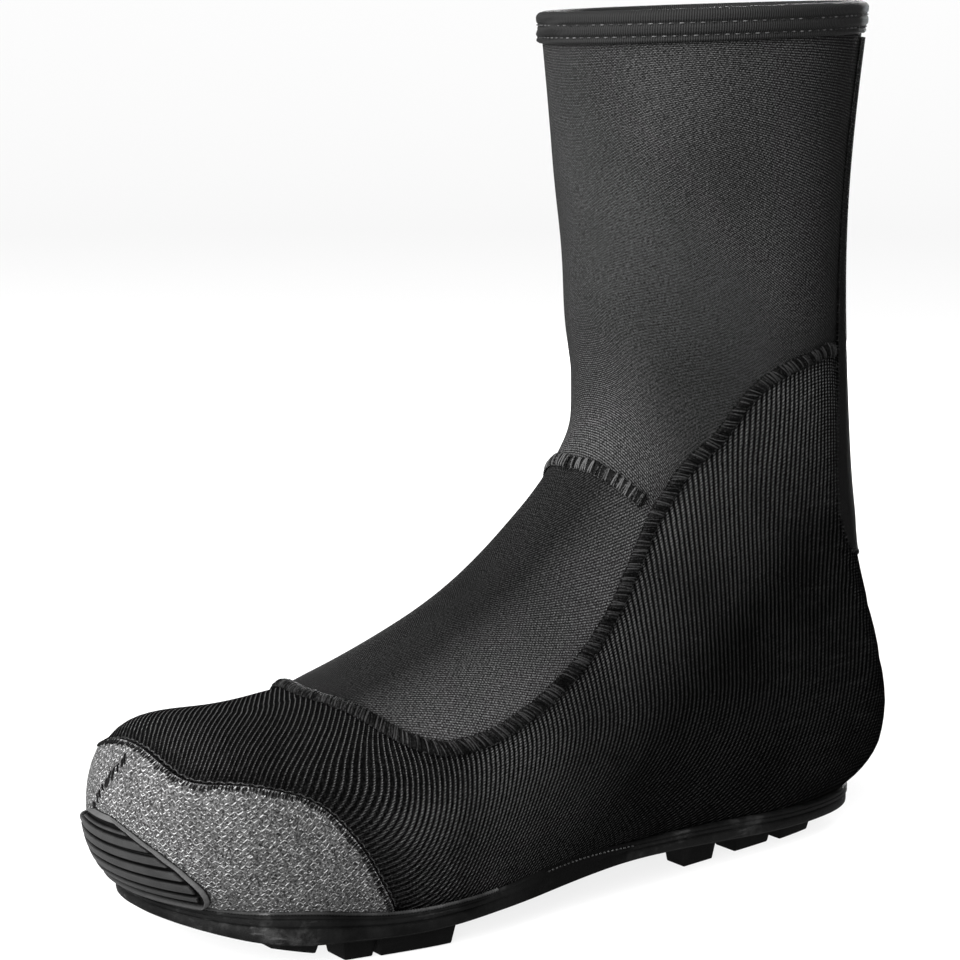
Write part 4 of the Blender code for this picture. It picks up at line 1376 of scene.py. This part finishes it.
def guard_weave():
    """Grey abrasion cloth: rows of broken, hooked light strokes on a grainy darker ground, with painted
    shade towards its back end.
    """
    m = Nodes("guard_weave", (0.13, 0.13, 0.13), 0.75)
    along, around, _, _ = m.mark("cloth")
    row = m.math("FLOOR", m.math("DIVIDE", around, STROKE_ROW))
    shifted = m.math("ADD", along, m.math("MULTIPLY", row, 1.3))
    sway = m.noise(m.place(), 320.0, 2.0)
    zigzag = m.math("PINGPONG", shifted, STROKE_REPEAT / 2.0)
    level = m.math("ADD", around, m.math("MULTIPLY", zigzag, 0.9))
    level = m.math("ADD", level, m.remap(sway, 0.2, 0.8, -0.5, 0.5))
    stroke = m.remap(m.wave(level, STROKE_ROW), 0.62, 0.94, 0.0, 1.0)
    broken = m.noise(m.place(), 800.0, 2.0, 0.6)
    stroke = m.math("MULTIPLY", stroke, m.remap(broken, 0.40, 0.56, 0.0, 1.0))
    rising = m.math("LESS_THAN", m.math("FRACT", m.math("DIVIDE", shifted, STROKE_REPEAT)), 0.5)
    stroke = m.math("MULTIPLY", stroke, m.remap(rising, 0.0, 1.0, 0.6, 1.0))
    grain = m.noise(m.place(), 1300.0, 2.0, 0.75)
    height = m.math("ADD", m.math("MULTIPLY", stroke, 0.72), m.remap(grain, 0.32, 0.68, -0.05, 0.48))
    patch = m.noise(m.place(), 60.0, 3.0)
    tone = m.math("MULTIPLY", height, m.remap(patch, 0.3, 0.7, 0.85, 1.12))
    colour = m.ramp(tone, ((0.0, 0.0025), (0.20, 0.021), (0.50, 0.062), (1.0, 0.25)))
    # Painted shade: the guard darker towards its back end.
    length, _, _ = m.axes()
    m.colour(m.scaled(colour, m.remap(length, 0.075, 0.125, 0.58, 1.0)))
    m.set(Specular_IOR_Level=0.05)
    m.normal(m.bump(height, 0.0006))
    return m.material


def rubber(name, levels, shine):
    """Moulded rubber with fine grain, pale dust and rubbed edges, and painted shade under the arch."""
    m = Nodes(name, (0.02, 0.02, 0.02), shine)
    grain = m.noise(m.place(), 1900.0, 2.0, 0.6)
    dust = m.noise(m.place(), 55.0, 5.0, 0.65)
    scuff = m.stretched_noise(m.place(), (40.0, 260.0, 700.0), 4.0)
    marks = m.remap(scuff, 0.60, 0.72, 0.0, 0.5)
    tone = m.math("ADD", m.remap(dust, 0.38, 0.66, 0.0, 0.80), m.math("MULTIPLY", marks, 0.9))
    colour = m.ramp(tone, ((0.0, levels[0]), (0.5, levels[1]), (1.0, levels[2])))
    # Painted shade: the rubber darker under the arch, between the heel and the forefoot.
    length, _, rise = m.axes()
    along = m.math("ADD", length, m.math("MULTIPLY", rise, 1.2))
    behind = m.remap(along, *ARCH_PAINTED_SHADE[0], 1.0, 0.12)
    ahead = m.remap(along, *ARCH_PAINTED_SHADE[1], 0.12, 1.0)
    m.colour(m.scaled(colour, m.math("MAXIMUM", behind, ahead)))
    m.rough(m.remap(dust, 0.3, 0.7, shine - 0.08, shine + 0.12))
    m.set(Specular_IOR_Level=0.03)
    m.normal(m.bump(m.math("ADD", grain, m.math("MULTIPLY", dust, 0.8)), 0.00018))
    return m.material


def bumper_rubber():
    """Satin rubber, rubbed paler on the rim and the rib tops, with painted shade in the grooves and at
    the rim's foot.
    """
    m = Nodes("bumper_rubber", (0.03, 0.03, 0.03), 0.5)
    # The rim level holds the rubbed rim and rib tops and the painted shade in the grooves and at the
    # rim's foot.
    rim = m.level("rim")
    grain = m.noise(m.place(), 1700.0, 2.0, 0.6)
    cloud = m.noise(m.place(), 120.0, 4.0)
    tone = m.math("MULTIPLY", rim, m.remap(cloud, 0.3, 0.7, 0.75, 1.05))
    m.colour(m.ramp(tone, ((0.0, 0.0002), (0.2, 0.0008), (0.45, 0.012), (1.0, 0.036))))
    m.rough(m.remap(cloud, 0.3, 0.7, 0.42, 0.60))
    m.set(Specular_IOR_Level=0.03)
    m.normal(m.bump(grain, 0.00014))
    return m.material


def thread(name, dark, light):
    """Spun thread: twisted fibres with a soft sheen, each length in its own shade."""
    m = Nodes(name, (0.01, 0.01, 0.01), 0.55)
    fibre = m.noise(m.place(), 1500.0, 2.0, 0.7)
    tone = m.math("ADD", m.remap(fibre, 0.3, 0.7, -0.45, 0.40), m.level("shade"))
    m.colour(m.ramp(tone, ((0.1, dark), (0.9, light))))
    m.rough(m.remap(fibre, 0.3, 0.7, 0.7, 0.45))
    m.set(Specular_IOR_Level=0.02)
    m.normal(m.bump(fibre, 0.0003))
    return m.material


def binding_knit():
    """Black band with fine wales across it."""
    m = Nodes("binding_knit", (0.012, 0.012, 0.012), 0.7)
    around, _, _, _ = m.mark("cloth")
    wale = m.wave(around, 0.8)
    fuzz = m.noise(m.place(), 2200.0, 2.0, 0.6)
    height = m.math("ADD", m.math("MULTIPLY", wale, 0.7), m.math("MULTIPLY", fuzz, 0.5))
    m.colour(m.ramp(height, ((0.0, 0.0012), (0.5, 0.0038), (1.0, 0.0095))))
    m.set(Specular_IOR_Level=0.04)
    m.normal(m.bump(height, 0.00022))
    return m.material


def lining_cloth():
    """Dark jersey inside the upper."""
    m = Nodes("lining_cloth", (0.02, 0.02, 0.02), 0.9)
    speck = m.noise(m.place(), 1200.0, 2.0, 0.7)
    m.colour(m.ramp(speck, ((0.2, 0.005), (0.8, 0.014))))
    m.set(Specular_IOR_Level=0.04)
    m.normal(m.bump(speck, 0.0002))
    return m.material


def stand_in(made, slot, *nodes):
    """The piece rides on the one body and stands for its CAD nodes, which it hides; the slot is not
    used.
    """
    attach(made, "root")
    if nodes:
        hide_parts(*nodes)


def thread_piece(name, vertices, faces, tones, material, slot="seam_thread"):
    """Stitching as a piece of its own, each length in its shade."""
    made = piece(name, vertices, faces, (material,), None, {"shade": tones}, THREAD_ANGLE)
    stand_in(made, slot)


# Where the drawing coordinates lie in the row frame, from the upper that both share
skin = whole_skin()
plain = skin.cut(feather_height(skin.points))
upper_low, upper_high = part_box("upper")
plain_middle = (plain.points.min(axis=0) + plain.points.max(axis=0)) / 2.0 * SCALE
SHIFT = (np.array(upper_low) + np.array(upper_high)) / 2.0 - plain_middle
SHIFT[2] = 0.0

ribbed = ribbed_cloth()
# Painted shade: the shaft jersey darker towards its back, the instep jersey darker on the ridge and
# lighter towards its sides.
shaft_jersey = jersey_cloth("shaft_jersey", (0.0014, 0.0080, 0.047), 0.0, (80.0, 130.0, 1.0, 0.30))
instep_jersey = jersey_cloth("instep_jersey", (0.0013, 0.0056, 0.030), 60.0, (14.0, 56.0, 0.46, 2.9))
back_jersey = jersey_cloth("back_jersey", (0.001, 0.003, 0.009))
lining = lining_cloth()
weave = guard_weave()
sole_rubber = rubber("sole_rubber", (0.0008, 0.0028, 0.018), 0.60)
bead_rubber = rubber("bead_rubber", (0.006, 0.016, 0.045), 0.60)
# Painted shade: the lugs under the sole take a darker copy of the sole rubber.
shaded_lug_rubber = rubber("shaded_lug_rubber", (0.0006, 0.0013, 0.004), 0.70)
toe_rubber = bumper_rubber()
black_thread = thread("black_thread", 0.0005, 0.003)
side_thread = thread("side_thread", 0.0003, 0.012)
instep_thread = thread("instep_thread", 0.0005, 0.032)
grey_thread = thread("grey_thread", 0.004, 0.045)
band = binding_knit()

# Upper: three cloth panels outside, lining inside, pressed along the seams
side_line = ((3.62, -0.12),) + SIDE_SEAM + ((10.33, 0.80), (10.38, 0.90), (10.40, 1.12))
instep_line = ((6.58, -0.12),) + INSTEP_SEAM + ((6.72, 0.205), (6.76, 0.26))
upper, _ = plain.split(side_of_line(side_line, plain.drawing))
upper, _ = upper.split(side_of_line(instep_line, upper.drawing))
beside = side_of_line(side_line, upper.drawing)
above = side_of_line(instep_line, upper.drawing)
guard_side = side_of_line(GUARD_EDGE, upper.drawing)
press = -trough(beside, *SEAM_PRESS) - trough(beside, *SEAM_HOLLOW)
open_side = beside * (1.0 if beside[upper.drawing[:, 0].argmax()] > 0.0 else -1.0)
press -= trough(above, *INSTEP_PRESS) * (open_side > 0.0)
press -= trough(guard_side, *GUARD_PRESS)
press += crease_height(upper.drawing)
under_seam = np.abs(beside) < UNDER_SEAM
press[under_seam] = np.minimum(press[under_seam], 0.0)
upper.points = upper.points + upper.normals * press[:, None]
middle_beside = open_side[upper.triangles].sum(axis=1)
middle_above = above[upper.triangles].sum(axis=1)
shaft_sign = np.sign(above[upper.drawing[:, 0].argmax()])
panel = np.where(middle_beside < 0.0, 0, np.where(middle_above * shaft_sign > 0.0, 1, 2))
vertices, faces = upper.shell(-WALL, 0.0)
slots = np.full(len(faces), 3)
slots[:len(panel)] = panel
rib_marks = rib_coordinates(upper.points, upper.drawing)
flat = trough(guard_side, 1.0, RIB_FLAT_REACH)
narrow = smooth(*RIB_NARROW_LENGTHS, upper.points[:, 0])
narrow *= 1.0 - smooth(*RIB_NARROW_GIRTHS, upper.drawing[:, 1])
cloth_marks = cloth_coordinates(upper.points, upper.drawing)
upper_cloth = piece(
    "upper_cloth", vertices, faces, (ribbed, shaft_jersey, instep_jersey, lining), slots,
    {
        "rib": both_faces(rib_marks),
        "cloth": both_faces(cloth_marks),
        "flat": both_faces(flat),
        "narrow": both_faces(narrow),
    },
)
stand_in(upper_cloth, "neoprene", "upper")

# Sole: fine strip, then lugs with worn edges joined to it
left, right = sole_loop(plain)
sole_vertices, sole_faces = outsole_mesh(left, right)
sole = piece("sole", sole_vertices, sole_faces, (sole_rubber,))
lug_vertices, lug_faces = lug_mesh(left, right)
lugs = piece("sole_lugs", lug_vertices, outward_faces(lug_vertices, lug_faces), (sole_rubber,))
rounding = lugs.modifiers.new("worn_edges", "BEVEL")
rounding.width = LUG_WEAR * SCALE
rounding.segments = 2
union = sole.modifiers.new("lugs", "BOOLEAN")
union.operation = "UNION"
union.solver = "EXACT"
union.use_self = True
union.object = lugs
bpy.context.view_layer.update()
joined = bpy.data.meshes.new_from_object(sole.evaluated_get(bpy.context.evaluated_depsgraph_get()))
joined.polygons.foreach_set("use_smooth", np.ones(len(joined.polygons), bool))
joined.set_sharp_from_angle(angle=math.radians(SOLE_ANGLE))
# Painted shade: faces below the strip take the darker lug rubber.
joined.materials.append(shaded_lug_rubber)
centres = np.empty(3 * len(joined.polygons))
joined.polygons.foreach_get("center", centres)
centres = (centres.reshape(-1, 3) - SHIFT) / SCALE
on_lug = centres[:, 2] < sole_line("strip", centres[:, 0]) - LUG_BELOW_STRIP
joined.polygons.foreach_set("material_index", on_lug.astype(np.int32))
sole.modifiers.clear()
sole.data = joined
bpy.data.objects.remove(lugs)
stand_in(sole, "sole_rubber", "outsole")
bead = piece("sole_bead", *bead_mesh(left, right), (bead_rubber,), smooth_angle=THREAD_ANGLE)
stand_in(bead, "sole_rubber")
vertices, faces = hem_stitches(left, right)
thread_piece("arch_hem", vertices, faces, shades(len(vertices), 0.25), grey_thread)

# Toe guard in two halves, and the bumper over them
guard = skin.cut(feather_height(skin.points) - GUARD_ABOVE_SOLE)
guard = guard.cut(side_of_line(GUARD_EDGE, guard.drawing))
aside = guard.points[:, 1] - middle_line(guard.drawing) - toe_seam_aside(guard.points[:, 2])
for name, turn in (("guard_left", 1.0), ("guard_right", -1.0)):
    half = guard.cut(turn * aside - 0.5 * GAP)
    marks = both_faces(guard_coordinates(half.points))
    made = piece(name, *half.shell(GAP, GAP + GUARD_THICKNESS), (weave,), marks={"cloth": marks})
    stand_in(made, "guard_weave", "toe_" + name)
vertices, faces, rub_and_groove_shades = bumper_mesh()
bumper = piece("bumper", vertices, faces, (toe_rubber,), None, {"rim": rub_and_groove_shades}, 40.0)
stand_in(bumper, "bumper_rubber", "toe_bumper")

# Back panel
panel_line = PANEL_EDGE + ((9.33, 1.060),)
panel_skin = skin.cut(-side_of_line(panel_line, skin.drawing))
cuff = section_points(CUFF, [0.0])[0]
slope = (cuff - section_points(CUFF, [1.0])[0])[[0, 2]]
rise = cuff[2] - (cuff[0] - panel_skin.points[:, 0]) * slope[1] / slope[0]
panel_skin = panel_skin.cut(rise - BINDING_DEPTH - PANEL_BELOW_BAND - panel_skin.points[:, 2])
marks = both_faces(cloth_coordinates(panel_skin.points, panel_skin.drawing))
edge = np.abs(side_of_line(panel_line, panel_skin.drawing))
swell = smooth(0.0, PANEL_EDGE_REACH, edge)
thickness = PANEL_EDGE_THICKNESS + (PANEL_THICKNESS - PANEL_EDGE_THICKNESS) * swell
vertices, faces = panel_skin.shell(GAP, GAP + thickness)
back_strip = piece("back_strip", vertices, faces, (back_jersey,), marks={"cloth": marks})
stand_in(back_strip, "back_neoprene", "back_panel")

# Raised seams: a soft black strip under thread bars
for node, line, count, bar_thread, bars in (
    ("side_seam", SIDE_SEAM, 260, side_thread, SIDE_BARS),
    ("instep_seam", INSTEP_SEAM, 60, instep_thread, INSTEP_BARS),
):
    frames = seam_frames(line, count)
    strip = seam_mesh(frames, STRIP_WIDTH, STRIP_FOOT, bars["height"])
    *threads, tones = overlock(frames, BAR_WIDTH, BAR_PITCH, **bars)
    vertices, faces = join(strip, threads)
    slots = np.ones(len(faces))
    slots[:len(strip[1])] = 0
    marks = {"shade": np.concatenate([np.full(len(strip[0]), 0.5), tones])}
    cloths = (black_thread, bar_thread)
    made = piece(node + "_thread", vertices, faces, cloths, slots, marks, THREAD_ANGLE)
    stand_in(made, "seam_thread", node)

# Guard seam over the toe, the guard's centre seam and the edge of the back panel
frames = seam_frames(GUARD_EDGE[1:-1], 120)
thread_piece("guard_seam", *edge_bars(frames, **GUARD_BARS), black_thread)
vertices, faces = cord(frames, -GUARD_THREAD, GUARD_THREAD_LIFT, GUARD_THREAD_RADIUS)
thread_piece("guard_seam_line", vertices, faces, 0.6 * shades(len(vertices), 0.3), grey_thread)
thread_piece("toe_centre_seam", *edge_bars(toe_seam_frames(), **TOE_BARS), black_thread)
frames = seam_frames(PANEL_EDGE[-1:2:-1] + ((11.0, 0.735), (11.5, 0.735)), 150)
vertices, faces, tones = edge_bars(frames, **BACK_BARS)
thread_piece("back_strip_seam", vertices, faces, 0.5 * tones, side_thread)

# Collar band and its stitches
vertices, faces, marks = binding_mesh()
cuff_band = piece("cuff_band", vertices, faces, (band,), None, {"cloth": marks}, THREAD_ANGLE)
stand_in(cuff_band, "binding_knit", "cuff_binding")
thread_piece("cuff_stitches", *binding_stitches(), grey_thread, "binding_knit")

# Studio: pale paper that rises all round, broad key from the toe side, soft light behind
FLOOR_PROFILE = ((0.0, 0.0), (3.0, 0.0), (3.4, 0.05), (3.8, 0.22), (4.1, 0.5), (4.3, 0.9), (4.4, 1.6))
spokes = 72
floor_vertices = [(0.0, 0.0, 0.0)]
for radius, height in FLOOR_PROFILE[1:]:
    for spoke in range(spokes):
        turn = 2.0 * math.pi * spoke / spokes
        floor_vertices.append((radius * math.cos(turn), radius * math.sin(turn), height))
floor_faces = [(0, 1 + k, 1 + (k + 1) % spokes) for k in range(spokes)]
for ring in range(len(FLOOR_PROFILE) - 2):
    a = 1 + ring * spokes
    for k in range(spokes):
        after = (k + 1) % spokes
        floor_faces.append((a + k, a + spokes + k, a + spokes + after, a + after))
floor_mesh = bpy.data.meshes.new("floor")
floor_mesh.from_pydata(floor_vertices, [], floor_faces)
floor_mesh.polygons.foreach_set("use_smooth", np.ones(len(floor_mesh.polygons), bool))
floor = bpy.data.objects.new("floor", floor_mesh)
floor.location.z = -0.0004
bpy.context.scene.collection.objects.link(floor)
paper = Nodes("floor_paper", (0.13, 0.13, 0.13), 0.95)
paper.set(Specular_IOR_Level=0.0, Emission_Color=(1.0, 1.0, 1.0, 1.0), Emission_Strength=0.82)
floor_mesh.materials.append(paper.material)

world = bpy.data.worlds.new("studio")
bpy.context.scene.world = world
world.use_nodes = True
ground = world.node_tree.nodes["Background"]
ground.inputs["Color"].default_value = (1.0, 1.0, 1.0, 1.0)
ground.inputs["Strength"].default_value = 0.14

LIGHTS = {
    "key": ((1.30, 0.26, 0.98), 3.0, 370.0),
    "front": ((0.75, 1.20, 0.55), 0.7, 2.0),
    "behind": ((-1.20, -0.95, 0.40), 0.8, 70.0),
}
LIGHT_AIM = Vector((0.0, 0.0, 0.13))
for name, (place, size, power) in LIGHTS.items():
    lamp = bpy.data.lights.new(name, "AREA")
    lamp.shape = "DISK"
    lamp.size = size
    lamp.energy = power
    holder = bpy.data.objects.new(name, lamp)
    holder.location = place
    holder.visible_camera = False
    holder.rotation_mode = "QUATERNION"
    holder.rotation_quaternion = (LIGHT_AIM - Vector(place)).to_track_quat("-Z", "Y")
    bpy.context.scene.collection.objects.link(holder)

# Camera at the photograph's angle
VIEW_FROM = np.array([647.9, 652.3, 273.35]) * SCALE + SHIFT
VIEW_TO = np.array([162.9, 0.0, 134.4]) * SCALE + SHIFT
camera_data = bpy.data.cameras.new("camera")
camera_data.sensor_width = 36.0
camera_data.lens = 95.52
camera = bpy.data.objects.new("camera", camera_data)
camera.location = VIEW_FROM
camera.rotation_mode = "QUATERNION"
camera.rotation_quaternion = Vector(VIEW_TO - VIEW_FROM).to_track_quat("-Z", "Y")
bpy.context.scene.collection.objects.link(camera)
bpy.context.scene.camera = camera
bpy.context.scene.view_settings.view_transform = "Standard"
